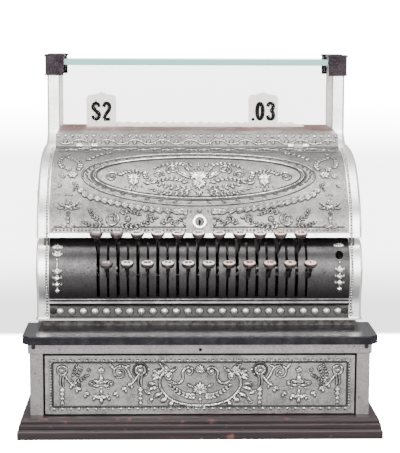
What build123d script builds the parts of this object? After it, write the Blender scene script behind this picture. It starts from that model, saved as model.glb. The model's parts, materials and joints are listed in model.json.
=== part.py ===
from build123d import *
import math
import os

# A table-top cash register of the candy-store kind: wooden plinth, cash drawer in a metal case,
# stone shelf, curved key plate with two rows of keys, curved hinged lid, glazed indicator on top.
# Lengths are millimetres. X runs to the operator's right, Y runs from the operator's side to the
# back, Z runs up. The origin is at the centre of the plinth's underside.
# Depths are given behind the plinth's front edge and turned into Y by at_depth().

os.makedirs("parts", exist_ok=True)

# overall
PLINTH_W = 432.0
PLINTH_D = 406.0
PLINTH_H = 24.5

# drawer case
CASE_REVEAL = 14.0          # plinth shown beside the case
CASE_FRONT = 22.0           # depth of the case's front
CASE_H = 87.7               # from the plinth's top to the deck's top
CASE_WALL = 12.0
POST_W = 16.3
POST_D = 18.0
RAIL_H = 13.2
RAIL_PROUD = 2.0
RAIL_D = 14.0
RAIL_OVERLAP = 1.8          # rail shown beyond the posts at each end
RAIL_HOLE_R = 1.9
DECK_T = 4.0

# drawer
DRAWER_GAP = 2.1            # round the drawer's front
DRAWER_FLOOR_GAP = 1.5
DRAWER_FRONT_T = 6.5
DRAWER_PROUD = 1.5
DRAWER_RIM_W = 4.0
DRAWER_RIM_T = 1.4
DRAWER_TRAVEL = 250.0
TRAY_SIDE_GAP = 7.7         # from the case opening to the tray's side
TRAY_WALL = 8.0
TRAY_FLOOR = 6.0
TRAY_UNDER_RAIL = 11.5      # from the tray's top to the rail
TRAY_BACK_GAP = 15.0
COIN_DEPTH = 80.0           # front-to-back length of the coin row
CUP_COUNT = 5
CUP_R = 30.0
CUP_DEEP = 28.0
CUP_FLOOR = 8.0
BAY_COUNT = 4
DIVIDER_T = 6.0
RUNNER_W = 12.0
RUNNER_H = 2.7
RUN_GAP = 0.3               # between pieces that slide past each other

# stone shelf
SHELF_REVEAL = 6.5          # plinth shown beside the shelf
SHELF_FRONT = 9.0
SHELF_D = 84.0
SHELF_T = 9.8
SHELF_CLIP = 8.0

# upper cabinet
UPPER_INSET = 5.5           # drawer case shown beside the upper cabinet
UPPER_FRONT = 67.0
UPPER_BACK_GAP = 18.0
BASE_GAP_H = 8.5            # recessed base between the shelf and the strip
STRIP_T = 2.0
RIM_W = 15.2                # front band of each side casting
SIDE_T = 4.0
PANEL_T = 2.5

# key plate and moulding, heights above the top of the base strip
MOULD_PANEL_LOW = 1.8
MOULD_PANEL_HIGH = 15.0
MOULD_TOP = 24.0
MOULD_LIP = 64.5            # depths
MOULD_PANEL = 68.5
MOULD_LEDGE = 62.5
STUD_COUNT = 25
STUD_PITCH = 14.04
STUD_R = 4.0
STUD_SPHERE_R = 4.6
PLATE_T = 2.2
SLOT_W = 3.0
UPPER_SLOT_W = 4.0
SLOT_BOTTOM = 26.5
LOWER_SLOT_TOP = 91.0
UPPER_SLOT_TOP = 94.0
PLATE_HOLE_X = 168.4
PLATE_HOLE_UP = 77.5
PLATE_HOLE_R = 4.75

# keys
KEY_COUNT = 22
KEY_PITCH = 11.93
KEY_BANK_SHIFT = 3.25       # the bank stands right of the middle
KEY_T = 2.2
CAP_R = 8.0
CAP_H = 5.5
DISC_R = 6.9
CAP_TILT = 13.0
CAP_DEPTH = 14.0
UPPER_CAP_UP = 111.8
LOWER_CAP_UP = 76.4
SHAFT_DEPTH = 120.0
SHAFT_UP = 52.5
SHAFT_R = 4.0
SHAFT_FIT = 0.05
HUB_R = 7.0
HUB_W = 5.0
TAIL_LENGTH = 194.0
TAIL_DROP = 20.5
KEY_SWING = 12.5            # degrees from rest to the stop
STOP_DEPTH = 250.0

# mechanism frame
MECH_X = 170.0
MECH_T = 3.0
MECH_FRONT = 100.0
MECH_BACK = 334.0
MECH_TOP_UP = 158.0
COMB_T = 3.0

# lid
LID_T = 3.0
LID_SIDE_FIT = 0.3
LID_STRIP_H = 5.2
LOCK_UP = 116.5             # above the top of the base strip
LOCK_RING_R = 9.25
LOCK_PLUG_R = 4.9
LOCK_FIT = 0.05
HINGE_DEPTH = 190.0
HINGE_UP = 199.0
KNUCKLE_R = 3.2
HINGE_PIN_R = 1.5
HINGE_PIN_FIT = 0.05
HINGE_LEFT_X = -141.0
HINGE_RIGHT_X = 129.0
HINGE_W = 26.0
KNUCKLE_W = 12.0

# indicator, heights above the top of the base strip
RAIL_FOOT = (191.5, 196.5)
RAIL_HEAD = (201.0, 212.8)
RAIL_T = 3.0
POST_FRONT = 259.0
HOUSING_BACK_GAP = 47.0     # upper cabinet's back to the housing's back
SILL_UP = 216.3
SILL_T = 3.0
WINDOW_TOP_UP = 299.5
GLASS_T = 3.0
TOP_GLASS_T = 8.0
TOP_GLASS_EDGE = 22.0       # from the cabinet's side to the top glass
CAP_W = 24.0
CAP_BLOCK_D = 26.0
CAP_LOW_UP = 286.0
CAP_TOP_UP = 313.5
CAP_OVERHANG = 2.2
CORNICE = 1.2
CORNICE_T = 3.0

# indicator flags
FLAG_W = 40.0
FLAG_H = 52.0
FLAG_T = 0.8
FLAG_PEAK_UP = 263.0
FLAG_TRAVEL = 40.0
FLAG_SPREAD = 5.0           # the plates stand wider apart than their rods
FLAG_FRONT = 299.0
FLAG_LAYERS = 4
FLAG_LAYER_PITCH = 3.6
ROD_W = 4.0
ROD_T = 1.2
ROD_CLEAR = 2.0
COMB_GAP = 0.4
RAISED = (0, 18)            # keys whose flags stand up

# heights and widths that follow from these
CASE_W = PLINTH_W - 2 * CASE_REVEAL
CASE_BACK = PLINTH_D - CASE_REVEAL
DECK_Z = PLINTH_H + CASE_H
SHELF_TOP = DECK_Z + SHELF_T
STRIP_Z = SHELF_TOP + BASE_GAP_H
UP_Z = STRIP_Z + STRIP_T
UPPER_W = CASE_W - 2 * UPPER_INSET
UPPER_BACK = PLINTH_D - UPPER_BACK_GAP
HALF = UPPER_W / 2
INNER = HALF - RIM_W
HOUSING_BACK = UPPER_BACK - HOUSING_BACK_GAP
OPEN_HALF = CASE_W / 2 - POST_W
RAIL_Z = DECK_Z - RAIL_H
TRAY_H = CASE_H - RAIL_H - RUNNER_H - RUN_GAP - TRAY_UNDER_RAIL

# curve of the key plate and of the lid: (depth, height above the base strip)
PLATE_CURVE = [(66.0, 24.0), (60.5, 40.0), (58.5, 58.0), (65.5, 79.0), (86.0, 94.5), (95.0, 97.0)]
LID_CURVE = [(72.0, 98.0), (78.5, 124.0), (91.5, 144.7), (111.0, 165.5), (140.0, 185.3), (186.3, 196.2)]
LID_LOW_UP = LID_CURVE[0][1]


def at_depth(depth):
    return depth - PLINTH_D / 2


def yz(depth, z):
    return (0, at_depth(depth), z)


def up_points(points):
    return [yz(d, UP_Z + h) for d, h in points]


def block(x0, x1, d0, d1, z0, z1):
    shape = Box(x1 - x0, d1 - d0, z1 - z0, align=(Align.MIN, Align.MIN, Align.MIN))
    return Pos(x0, at_depth(d0), z0) * shape


def prism(curves, x0, x1):
    outline = Curve() + curves
    face = make_face(outline)
    solid = extrude(face, amount=x1 - x0, dir=(1, 0, 0))
    return Pos(x0, 0, 0) * solid


def polygon_prism(points, x0, x1):
    return prism([Polyline(*points, close=True)], x0, x1)


def rod_x(radius, x0, x1, depth, z):
    rod = Cylinder(radius, x1 - x0, align=(Align.CENTER, Align.CENTER, Align.MIN))
    return Pos(x0, at_depth(depth), z) * Rot(0, 90, 0) * rod


def offset_curve(curve, distance, count=14):
    points = []
    for i in range(count + 1):
        u = i / count
        p = curve @ u
        t = curve % u
        points.append((0, p.Y + t.Z * distance, p.Z - t.Y * distance))
    return points


def shell(points, thickness, x0, x1):
    outer = Spline(*points)
    inner_points = offset_curve(outer, thickness)
    inner = Spline(*inner_points)
    ends = [Line(outer @ 1, inner @ 1), Line(inner @ 0, outer @ 0)]
    return prism([outer, inner] + ends, x0, x1)


def save(shapes, name):
    if isinstance(shapes, list):
        shapes = Compound(label=name, children=shapes)
    export_step(shapes, "parts/" + name + ".step")


# wooden plinth

def make_plinth():
    foot = block(-PLINTH_W / 2, PLINTH_W / 2, 0, PLINTH_D, 0, 13.0)
    foot = fillet(foot.edges().group_by(Axis.Z)[-1], 5.0)
    bead = block(2 - PLINTH_W / 2, PLINTH_W / 2 - 2, 2, PLINTH_D - 2, 13.0, 18.6)
    bead = fillet(bead.edges().group_by(Axis.Z)[-1], 2.4)
    neck = block(5 - PLINTH_W / 2, PLINTH_W / 2 - 5, 5, PLINTH_D - 5, 18.6, 20.2)
    top = block(3.6 - PLINTH_W / 2, PLINTH_W / 2 - 3.6, 3.6, PLINTH_D - 3.6, 20.2, PLINTH_H)
    top = chamfer(top.edges().group_by(Axis.Z)[-1], 3.2)
    return foot + bead + neck + top


# drawer case

def make_case_wall(side):
    outer = CASE_W / 2
    wall = block(outer - CASE_WALL, outer, CASE_FRONT + RAIL_D - RAIL_PROUD, CASE_BACK, PLINTH_H, DECK_Z)
    post = block(outer - POST_W, outer, CASE_FRONT, CASE_FRONT + POST_D, PLINTH_H, RAIL_Z)
    post_edges = post.edges().filter_by(Axis.Z).group_by(Axis.Y)[0]
    post = fillet(post_edges, 1.0)
    result = wall + post
    if side < 0:
        result = mirror(result, about=Plane.YZ)
    return result


def make_case_back():
    half = CASE_W / 2 - CASE_WALL
    return block(-half, half, CASE_BACK - CASE_WALL, CASE_BACK, PLINTH_H, DECK_Z)


def make_case_rail():
    half = CASE_W / 2 + RAIL_OVERLAP
    front = CASE_FRONT - RAIL_PROUD
    rail = block(-half, half, front, front + RAIL_D, RAIL_Z, DECK_Z)
    rail = fillet(rail.edges().filter_by(Axis.X).group_by(Axis.Y)[0], 0.8)
    bore = Cylinder(RAIL_HOLE_R, 3 * RAIL_D)
    mid = (RAIL_Z + DECK_Z) / 2 - 1.5
    return rail - Pos(0, at_depth(CASE_FRONT), mid) * Rot(90, 0, 0) * bore


def make_deck():
    half = CASE_W / 2 - CASE_WALL
    front = CASE_FRONT - RAIL_PROUD + RAIL_D
    deck = block(-half, half, front, CASE_BACK - CASE_WALL, DECK_Z - DECK_T, DECK_Z)
    opening = block(-140, 140, 130, PLINTH_D - 76, DECK_Z - 2 * DECK_T, DECK_Z + DECK_T)
    return deck - opening


def make_runners():
    inner = CASE_W / 2 - CASE_WALL
    low = PLINTH_H
    length = (CASE_FRONT + POST_D + 1, CASE_BACK - CASE_WALL)
    right = block(inner - RUNNER_W, inner, length[0], length[1], low, low + RUNNER_H)
    guide = block(inner - 3, inner, length[0], length[1], low + RUNNER_H, low + RUNNER_H + 12)
    right = right + guide
    return [mirror(right, about=Plane.YZ), right]


def screw_head(x, depth, z, radius, height):
    head = Cylinder(radius, height, align=(Align.CENTER, Align.CENTER, Align.MIN))
    head = fillet(head.edges().group_by(Axis.Z)[-1], height * 0.6)
    slot = Pos(0, 0, height) * Box(radius * 2.4, 0.7, height * 0.9)
    return Pos(x, at_depth(depth), z) * Rot(90, 0, 0) * (head - slot)


def make_case_screws():
    rail_x = CASE_W / 2 - 5.0
    rail_d = CASE_FRONT - RAIL_PROUD
    ledge_x = INNER - 1.7
    ledge_z = UP_Z + (MOULD_PANEL_LOW + MOULD_PANEL_HIGH) / 2
    places = [(-rail_x, rail_d, DECK_Z - 4.6), (rail_x, rail_d, DECK_Z - 4.6)]
    screws = [screw_head(x, d, z, 2.6, 1.4) for x, d, z in places]
    for x in (-ledge_x + 2.6, ledge_x - 2.6):
        screws.append(screw_head(x, MOULD_PANEL, ledge_z, 3.6, 2.0))
    return screws


# drawer

def drawer_half_width():
    return OPEN_HALF - DRAWER_GAP


def make_drawer_front():
    half = drawer_half_width()
    face = CASE_FRONT - DRAWER_PROUD + DRAWER_RIM_T
    back = CASE_FRONT - DRAWER_PROUD + DRAWER_FRONT_T
    low = PLINTH_H + DRAWER_FLOOR_GAP
    high = RAIL_Z - DRAWER_GAP
    front = block(-half, half, face, back, low, high)
    rim = block(-half, half, face - DRAWER_RIM_T, face, low, high)
    inside = block(-half + DRAWER_RIM_W, half - DRAWER_RIM_W, 0, 60, low + DRAWER_RIM_W, high - DRAWER_RIM_W)
    rim = rim - inside
    return front + rim


def drawer_screw_places():
    mid = (PLINTH_H + RAIL_Z) / 2 - 0.8
    half = drawer_half_width()
    return [(-half * 0.782, mid), (-half * 0.33, mid), (half * 0.33, mid), (half * 0.782, mid)]


def make_drawer_screws():
    face = CASE_FRONT - DRAWER_PROUD + DRAWER_RIM_T
    return [screw_head(x, face, z, 2.9, 1.3) for x, z in drawer_screw_places()]


def tray_limits():
    half = OPEN_HALF - TRAY_SIDE_GAP
    front = CASE_FRONT - DRAWER_PROUD + DRAWER_FRONT_T
    back = CASE_BACK - CASE_WALL - TRAY_BACK_GAP
    low = PLINTH_H + RUNNER_H + RUN_GAP
    return half, front, back, low


def make_tray():
    half, front, back, low = tray_limits()
    floor_z = low + TRAY_FLOOR
    high = low + TRAY_H
    w = TRAY_WALL
    pieces = [block(-half, half, front, back, low, floor_z)]
    pieces.append(block(-half, half, front, front + w, floor_z, high))
    pieces.append(block(-half, half, back - w, back, floor_z, high))
    pieces.append(block(-half, -half + w, front + w, back - w, floor_z, high))
    pieces.append(block(half - w, half, front + w, back - w, floor_z, high))
    cross = front + w + COIN_DEPTH
    inner = half - w
    pieces.append(block(-inner, inner, cross, cross + w, floor_z, high - 6))
    bay = (2 * inner - (BAY_COUNT - 1) * DIVIDER_T) / BAY_COUNT
    for i in range(BAY_COUNT - 1):
        x = -inner + bay * (i + 1) + DIVIDER_T * i
        pieces.append(block(x, x + DIVIDER_T, cross + w, back - w, floor_z, high - 6))
    return pieces


def make_coin_cups():
    half, front, back, low = tray_limits()
    inner = half - TRAY_WALL
    start = front + TRAY_WALL
    floor_z = low + TRAY_FLOOR
    top = floor_z + CUP_FLOOR + CUP_DEEP
    cups = block(-inner, inner, start, start + COIN_DEPTH, floor_z, top)
    pitch = 2 * inner / CUP_COUNT
    for i in range(CUP_COUNT):
        x = -inner + pitch * (i + 0.5)
        cup = Cylinder(CUP_R, CUP_DEEP + 1, align=(Align.CENTER, Align.CENTER, Align.MIN))
        cup = fillet(cup.edges().group_by(Axis.Z)[0], CUP_R * 0.4)
        cups = cups - Pos(x, at_depth(start + COIN_DEPTH / 2), floor_z + CUP_FLOOR) * cup
    return cups


# stone shelf

def make_shelf():
    half = PLINTH_W / 2 - SHELF_REVEAL
    shelf = block(-half, half, SHELF_FRONT, SHELF_FRONT + SHELF_D, DECK_Z, SHELF_TOP)
    corners = shelf.edges().filter_by(Axis.Z).group_by(Axis.Y)[0]
    shelf = chamfer(corners, SHELF_CLIP)
    front_top = [e for e in shelf.edges().group_by(Axis.Z)[-1] if e.center().Y < at_depth(SHELF_FRONT + 9)]
    return fillet(front_top, 1.2)


# upper cabinet

def make_base_frame():
    half = HALF - 6.5
    front = UPPER_FRONT + 7.0
    back = UPPER_BACK - 2.0
    frame = block(-half, half, front, back, DECK_Z, STRIP_Z)
    frame = frame - block(-half + 9, half - 9, front + 9, back - 9, DECK_Z - 1, STRIP_Z + 1)
    shelf_seat = block(-PLINTH_W, PLINTH_W, 0, SHELF_FRONT + SHELF_D, DECK_Z - 1, SHELF_TOP)
    return frame - shelf_seat


def make_base_strip():
    half = HALF + 1.0
    front = UPPER_FRONT - 3.5
    strip = block(-half, half, front, UPPER_BACK + 1, STRIP_Z, UP_Z)
    inside = block(-MECH_X - 11, MECH_X + 11, 90, UPPER_BACK - 14, STRIP_Z - 1, UP_Z + 1)
    return strip - inside


def side_outline():
    z = UP_Z
    top = z + WINDOW_TOP_UP
    back = HOUSING_BACK
    foot = up_points([(UPPER_FRONT, 17.0), (64.6, 29.0)] + PLATE_CURVE[1:4] + [(86.0, 94.5)])
    brow = LID_CURVE[:-1] + [(190.0, 196.6), (222.0, 198.6), (244.0, 201.6), (255.6, 208.6)]
    brow = up_points(brow + [(POST_FRONT, 219.0)])
    curves = [Line(yz(UPPER_FRONT, z), foot[0])]
    curves.append(Spline(*foot, tangents=[(0, 0, 1), (0, 1, 0.28)]))
    curves.append(Line(foot[-1], yz(86.0, z + 98.0)))
    curves.append(Line(yz(86.0, z + 98.0), brow[0]))
    curves.append(Spline(*brow, tangents=[(0, 0.18, 1), (0, 0, 1)]))
    curves.append(Line(brow[-1], yz(POST_FRONT, top)))
    curves.append(Line(yz(POST_FRONT, top), yz(back, top)))
    curves.append(Line(yz(back, top), yz(back, z + 212.8)))
    curves.append(Line(yz(back, z + 212.8), yz(back + 31, z + 185.5)))
    curves.append(Line(yz(back + 31, z + 185.5), yz(UPPER_BACK, z + 152.5)))
    curves.append(Line(yz(UPPER_BACK, z + 152.5), yz(UPPER_BACK, z)))
    curves.append(Line(yz(UPPER_BACK, z), yz(UPPER_FRONT, z)))
    return curves


def side_pocket():
    back = HOUSING_BACK
    rear = UPPER_BACK - 12
    points = [(79.0, 12.0), (79.0, 26.0), (72.5, 42.0), (70.5, 58.0), (76.5, 73.0), (97.0, 88.0)]
    points += [(97.0, 106.0), (89.0, 118.0), (101.0, 137.0), (119.0, 155.5), (145.0, 173.5)]
    points += [(192.0, 184.0), (252.0, 187.0), (POST_FRONT + 12, 200.0), (POST_FRONT + 12, 290.0)]
    points += [(back - 12, 290.0), (back - 12, 207.0), (back + 22, 178.0), (rear, 149.0), (rear, 12.0)]
    return polygon_prism(up_points(points), INNER - 1, HALF - SIDE_T)


def make_side(side):
    plate = prism(side_outline(), INNER, HALF)
    outer = plate.edges().group_by(Axis.X)[-1]
    long_ones = [e for e in outer if e.length > 25 and e.center().Z > UP_Z + 5]
    fronts = [e for e in long_ones if e.center().Y < at_depth(POST_FRONT + 1)]
    plate = fillet(fronts, 3.0)
    plate = plate - side_pocket()
    if side < 0:
        plate = mirror(plate, about=Plane.YZ)
    return plate


def make_back_cover():
    z = UP_Z
    back = HOUSING_BACK
    t = PANEL_T
    points = [(UPPER_BACK, 0.0), (UPPER_BACK, 152.5), (back + 31, 185.5), (back, 212.8)]
    points += [(back - t, 210.0), (back + 28.6, 184.0), (UPPER_BACK - t, 151.6), (UPPER_BACK - t, 0.0)]
    cover = polygon_prism([yz(d, z + h) for d, h in points], -INNER, INNER)
    door = block(-95, 95, UPPER_BACK, UPPER_BACK + 1.2, z + 22, z + 130)
    knob = Pos(0, at_depth(UPPER_BACK + 1.2), z + 120) * Rot(-90, 0, 0) * Cylinder(
        6, 4, align=(Align.CENTER, Align.CENTER, Align.MIN))
    return [cover, door, knob]


def make_moulding():
    z = UP_Z
    low = [(MOULD_LIP, 0.0), (MOULD_LIP, MOULD_PANEL_LOW), (MOULD_PANEL, MOULD_PANEL_LOW + 0.6)]
    face = [(MOULD_PANEL, MOULD_PANEL_HIGH), (MOULD_LEDGE + 1.5, MOULD_PANEL_HIGH + 1.5)]
    ledge = [(MOULD_LEDGE, MOULD_PANEL_HIGH + 4.0), (MOULD_LEDGE + 0.6, MOULD_TOP - 3.0)]
    top = [(MOULD_LEDGE + 3.2, MOULD_TOP - 1.0), (66.0, MOULD_TOP - 0.2), (71.5, MOULD_TOP - 0.2)]
    back = [(71.5, 0.0)]
    points = [yz(d, z + h) for d, h in low + face + ledge + top + back]
    return polygon_prism(points, -INNER, INNER)


def make_studs():
    z = UP_Z + (MOULD_PANEL_LOW + MOULD_PANEL_HIGH) / 2
    sink = math.sqrt(STUD_SPHERE_R ** 2 - STUD_R ** 2)
    studs = []
    for i in range(STUD_COUNT):
        x = (i - (STUD_COUNT - 1) / 2) * STUD_PITCH
        ball = Pos(x, at_depth(MOULD_PANEL + sink), z) * Sphere(STUD_SPHERE_R)
        behind = block(x - 9, x + 9, MOULD_PANEL, MOULD_PANEL + 20, z - 9, z + 9)
        studs.append(ball - behind)
    return studs


# keys

def key_x(i):
    return (i - (KEY_COUNT - 1) / 2) * KEY_PITCH + KEY_BANK_SHIFT


def make_key_plate():
    plate = shell(up_points(PLATE_CURVE), PLATE_T, -INNER, INNER)
    for i in range(KEY_COUNT):
        x = key_x(i)
        high = UPPER_SLOT_TOP if i % 2 == 0 else LOWER_SLOT_TOP
        w = (UPPER_SLOT_W if i % 2 == 0 else SLOT_W) / 2
        z0 = UP_Z + SLOT_BOTTOM
        z1 = UP_Z + high
        plate = plate - block(x - w, x + w, 40, 110, z0, z1)
    bore = Cylinder(PLATE_HOLE_R, 60)
    return plate - Pos(PLATE_HOLE_X, at_depth(65), UP_Z + PLATE_HOLE_UP) * Rot(90, 0, 0) * bore


def ribbon(centre, widths, x0, x1):
    left = []
    right = []
    for i, (d, h) in enumerate(centre):
        before = centre[max(i - 1, 0)]
        after = centre[min(i + 1, len(centre) - 1)]
        run = (after[0] - before[0], after[1] - before[1])
        size = math.hypot(run[0], run[1])
        normal = (-run[1] / size, run[0] / size)
        w = widths[i]
        left.append(yz(d + normal[0] * w, h + normal[1] * w))
        right.append(yz(d - normal[0] * w, h - normal[1] * w))
    side_a = Spline(*left)
    side_b = Spline(*right)
    ends = [Line(side_a @ 0, side_b @ 0), Line(side_a @ 1, side_b @ 1)]
    return prism([side_a, side_b] + ends, x0, x1)


def make_cap(x, z):
    ring = [(0, -CAP_H), (4.6, -CAP_H), (6.9, -CAP_H + 1.4), (CAP_R - 0.1, -1.6), (CAP_R, -0.5)]
    ring += [(CAP_R - 0.5, 0), (DISC_R, 0), (DISC_R, -1.2), (0, -1.2)]
    ring_face = make_face(Polyline(*[(r, 0, h) for r, h in ring], close=True))
    cup = revolve(ring_face, Axis.Z, 360)
    disc = Pos(0, 0, -1.2) * Cylinder(DISC_R, 1.5, align=(Align.CENTER, Align.CENTER, Align.MIN))
    disc = fillet(disc.edges().group_by(Axis.Z)[-1], 0.5)
    place = Pos(x, at_depth(CAP_DEPTH), z) * Rot(CAP_TILT, 0, 0)
    return place * cup, place * disc


def tail_height(depth):
    # of a lever's centre line over the shaft, at rest
    return -TAIL_DROP * (depth - SHAFT_DEPTH) / TAIL_LENGTH


def pressed_height(depth):
    rest = math.degrees(math.atan2(TAIL_DROP, TAIL_LENGTH))
    return (depth - SHAFT_DEPTH) * math.tan(math.radians(KEY_SWING - rest))


def make_key(i):
    x = key_x(i)
    upper = i % 2 == 0
    cap_z = UP_Z + (UPPER_CAP_UP if upper else LOWER_CAP_UP)
    shaft_z = UP_Z + SHAFT_UP
    cup, disc = make_cap(x, cap_z)
    neck = cap_z - CAP_H
    lean = CAP_H * math.sin(math.radians(CAP_TILT))
    start = CAP_DEPTH + lean
    if upper:
        front = [(start, neck - 0.4), (start + 2, neck - 6), (start + 13, neck - 13.5)]
        front += [(start + 32, neck - 19.5), (start + 53, neck - 26.0), (95.0, shaft_z + 14)]
    else:
        front = [(start, neck - 0.4), (start + 2, neck - 6), (start + 14, neck - 12.0)]
        front += [(start + 31, neck - 14.5), (start + 50, neck - 16.0), (92.0, shaft_z + 1.0)]
    tail = [SHAFT_DEPTH + TAIL_LENGTH * step for step in (0.0, 0.12, 0.3, 0.5, 0.75, 1.0)]
    centre = front + [(d, shaft_z + tail_height(d)) for d in tail]
    widths = [2.2, 2.4, 3.0, 3.3, 3.4, 3.8, 4.4, 4.2, 3.8, 3.5, 3.3, 3.1]
    blade = ribbon(centre, widths, x - KEY_T / 2, x + KEY_T / 2)
    hub = rod_x(HUB_R, x - HUB_W / 2, x + HUB_W / 2, SHAFT_DEPTH, shaft_z)
    stem = Pos(x, at_depth(start), neck + 0.1) * Rot(CAP_TILT, 0, 0) * Cylinder(
        2.4, 5.0, align=(Align.CENTER, Align.CENTER, Align.MAX))
    lever = blade + hub + stem
    lever = lever - rod_x(SHAFT_R + SHAFT_FIT, x - HUB_W, x + HUB_W, SHAFT_DEPTH, shaft_z)
    lever = lever - cup
    return [lever, cup, disc]


def make_key_shaft():
    return rod_x(SHAFT_R, -INNER, INNER, SHAFT_DEPTH, UP_Z + SHAFT_UP)


def flag_x(i):
    return key_x(i)


def flag_plate_x(i):
    return flag_x(i) - FLAG_SPREAD * (KEY_COUNT - 1 - i) / (KEY_COUNT - 1)


def flag_depth(i):
    return FLAG_FRONT + (i % FLAG_LAYERS) * FLAG_LAYER_PITCH


def make_mechanism_frame():
    high = UP_Z + MECH_TOP_UP
    low = DECK_Z
    shaft_z = UP_Z + SHAFT_UP
    plates = []
    for side in (-1, 1):
        x0 = min(side * MECH_X, side * (MECH_X + MECH_T))
        points = [(MECH_FRONT, low), (MECH_FRONT, shaft_z + 14), (MECH_FRONT + 34, shaft_z + 22)]
        points += [(MECH_BACK - 70, high), (MECH_BACK, high), (MECH_BACK, low)]
        outline = [yz(d, h) for d, h in points]
        plate = polygon_prism(outline, x0, x0 + MECH_T)
        plate = plate - rod_x(SHAFT_R + SHAFT_FIT, x0 - 1, x0 + MECH_T + 1, SHAFT_DEPTH, shaft_z)
        plate = plate - block(x0 - 1, x0 + MECH_T + 1, 160, 262, low + 14, shaft_z + 10)
        plates.append(plate)
    comb = block(-MECH_X, MECH_X, FLAG_FRONT - 9, MECH_BACK, high - COMB_T, high)
    for i in range(KEY_COUNT):
        x = flag_x(i)
        d = flag_depth(i)
        w = ROD_W / 2 + COMB_GAP
        t = ROD_T / 2 + COMB_GAP
        comb = comb - block(x - w, x + w, d - t, d + t, high - 2 * COMB_T, high + COMB_T)
    return plates + [comb]


def make_stop_bars():
    shaft_z = UP_Z + SHAFT_UP
    rest_top = shaft_z + tail_height(STOP_DEPTH + 30) - 3.4 - RUN_GAP
    stop_low = shaft_z + pressed_height(STOP_DEPTH) + 3.9 + RUN_GAP
    rest = block(-MECH_X, MECH_X, STOP_DEPTH + 20, STOP_DEPTH + 30, rest_top - 10, rest_top)
    stop = block(-MECH_X, MECH_X, STOP_DEPTH - 10, STOP_DEPTH, stop_low, stop_low + 10)
    return [rest, stop]


# lid

def lid_half():
    return INNER - LID_SIDE_FIT


def lid_frame_at(height):
    curve = Spline(*up_points(LID_CURVE))
    low = 0.0
    high = 1.0
    for _ in range(40):
        mid = (low + high) / 2
        if (curve @ mid).Z < UP_Z + height:
            low = mid
        else:
            high = mid
    p = curve @ low
    t = curve % low
    angle = math.degrees(math.atan2(t.Y, t.Z))
    return p, angle


def lock_place():
    p, angle = lid_frame_at(LOCK_UP)
    # local Z of the lock points out of the lid, towards the operator
    return Pos(0, p.Y, p.Z) * Rot(90 - angle, 0, 0)


def make_lid():
    half = lid_half()
    lid = shell(up_points(LID_CURVE), LID_T, -half, half)
    cut_z = UP_Z + LID_LOW_UP + LID_STRIP_H
    lid = lid - block(-half - 1, half + 1, 40, 130, cut_z - 40, cut_z)
    lid = lid - lock_place() * Cylinder(LOCK_RING_R, 40)
    hinge_z = UP_Z + HINGE_UP
    for x in (HINGE_LEFT_X, HINGE_RIGHT_X):
        w = KNUCKLE_W / 2
        knuckle = rod_x(KNUCKLE_R, x - w, x + w, HINGE_DEPTH, hinge_z)
        tongue = block(x - w, x + w, HINGE_DEPTH - 8, HINGE_DEPTH, hinge_z - KNUCKLE_R, hinge_z - 0.4)
        lid = lid + knuckle + tongue
        lid = lid - rod_x(HINGE_PIN_R + HINGE_PIN_FIT, x - w - 1, x + w + 1, HINGE_DEPTH, hinge_z)
    return lid


def make_lid_strip():
    half = lid_half()
    low = LID_LOW_UP
    high = low + LID_STRIP_H
    points = [(70.8, low), (72.0, high), (77.4, high), (77.4, low)]
    return polygon_prism(up_points(points), -half, half)


def make_lock_ring():
    ring = Pos(0, 0, -3.0) * Cylinder(LOCK_RING_R, 5.6, align=(Align.CENTER, Align.CENTER, Align.MIN))
    ring = fillet(ring.edges().group_by(Axis.Z)[-1], 1.6)
    ring = ring - Cylinder(LOCK_PLUG_R + LOCK_FIT, 40)
    return lock_place() * ring


def make_lock_plug():
    plug = Pos(0, 0, -12.0) * Cylinder(LOCK_PLUG_R, 13.6, align=(Align.CENTER, Align.CENTER, Align.MIN))
    plug = fillet(plug.edges().group_by(Axis.Z)[-1], 0.6)
    plug = plug - Pos(0, -0.8, 1.0) * Box(1.1, 4.6, 4.4) - Pos(0, 1.3, 1.0) * Cylinder(1.2, 4.4)
    cam = Pos(4.5, 0, -13.2) * Box(16.0, 5.0, 2.4)
    return lock_place() * (plug + cam)


def make_hinges():
    hinge_z = UP_Z + HINGE_UP
    pieces = []
    gap = 0.3
    for x in (HINGE_LEFT_X, HINGE_RIGHT_X):
        w = HINGE_W / 2
        k = KNUCKLE_W / 2 + gap
        bore = rod_x(HINGE_PIN_R, x - w - 1, x + w + 1, HINGE_DEPTH, hinge_z)
        left = rod_x(KNUCKLE_R, x - w, x - k, HINGE_DEPTH, hinge_z) - bore
        right = rod_x(KNUCKLE_R, x + k, x + w, HINGE_DEPTH, hinge_z) - bore
        pin = rod_x(HINGE_PIN_R, x - w, x + w, HINGE_DEPTH, hinge_z)
        pieces += [left, right, pin]
    return pieces


# indicator

def make_hinge_rail():
    foot_d, foot_h = RAIL_FOOT
    head_d, head_h = RAIL_HEAD
    run = math.hypot(head_d - foot_d, head_h - foot_h)
    n = ((head_h - foot_h) / run * RAIL_T, -(head_d - foot_d) / run * RAIL_T)
    points = [(foot_d, foot_h), (head_d, head_h), (head_d + n[0], head_h + n[1])]
    points.append((foot_d + n[0], foot_h + n[1]))
    rail = polygon_prism(up_points(points), -INNER, INNER)
    hinge_z = UP_Z + HINGE_UP
    for x in (HINGE_LEFT_X, HINGE_RIGHT_X):
        w = HINGE_W / 2
        rail = rail - rod_x(KNUCKLE_R, x - w, x + w, HINGE_DEPTH, hinge_z)
        k = KNUCKLE_W / 2 + 0.3
        rail = rail - rod_x(KNUCKLE_R + 0.4, x - k, x + k, HINGE_DEPTH, hinge_z)
    return rail


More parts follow.
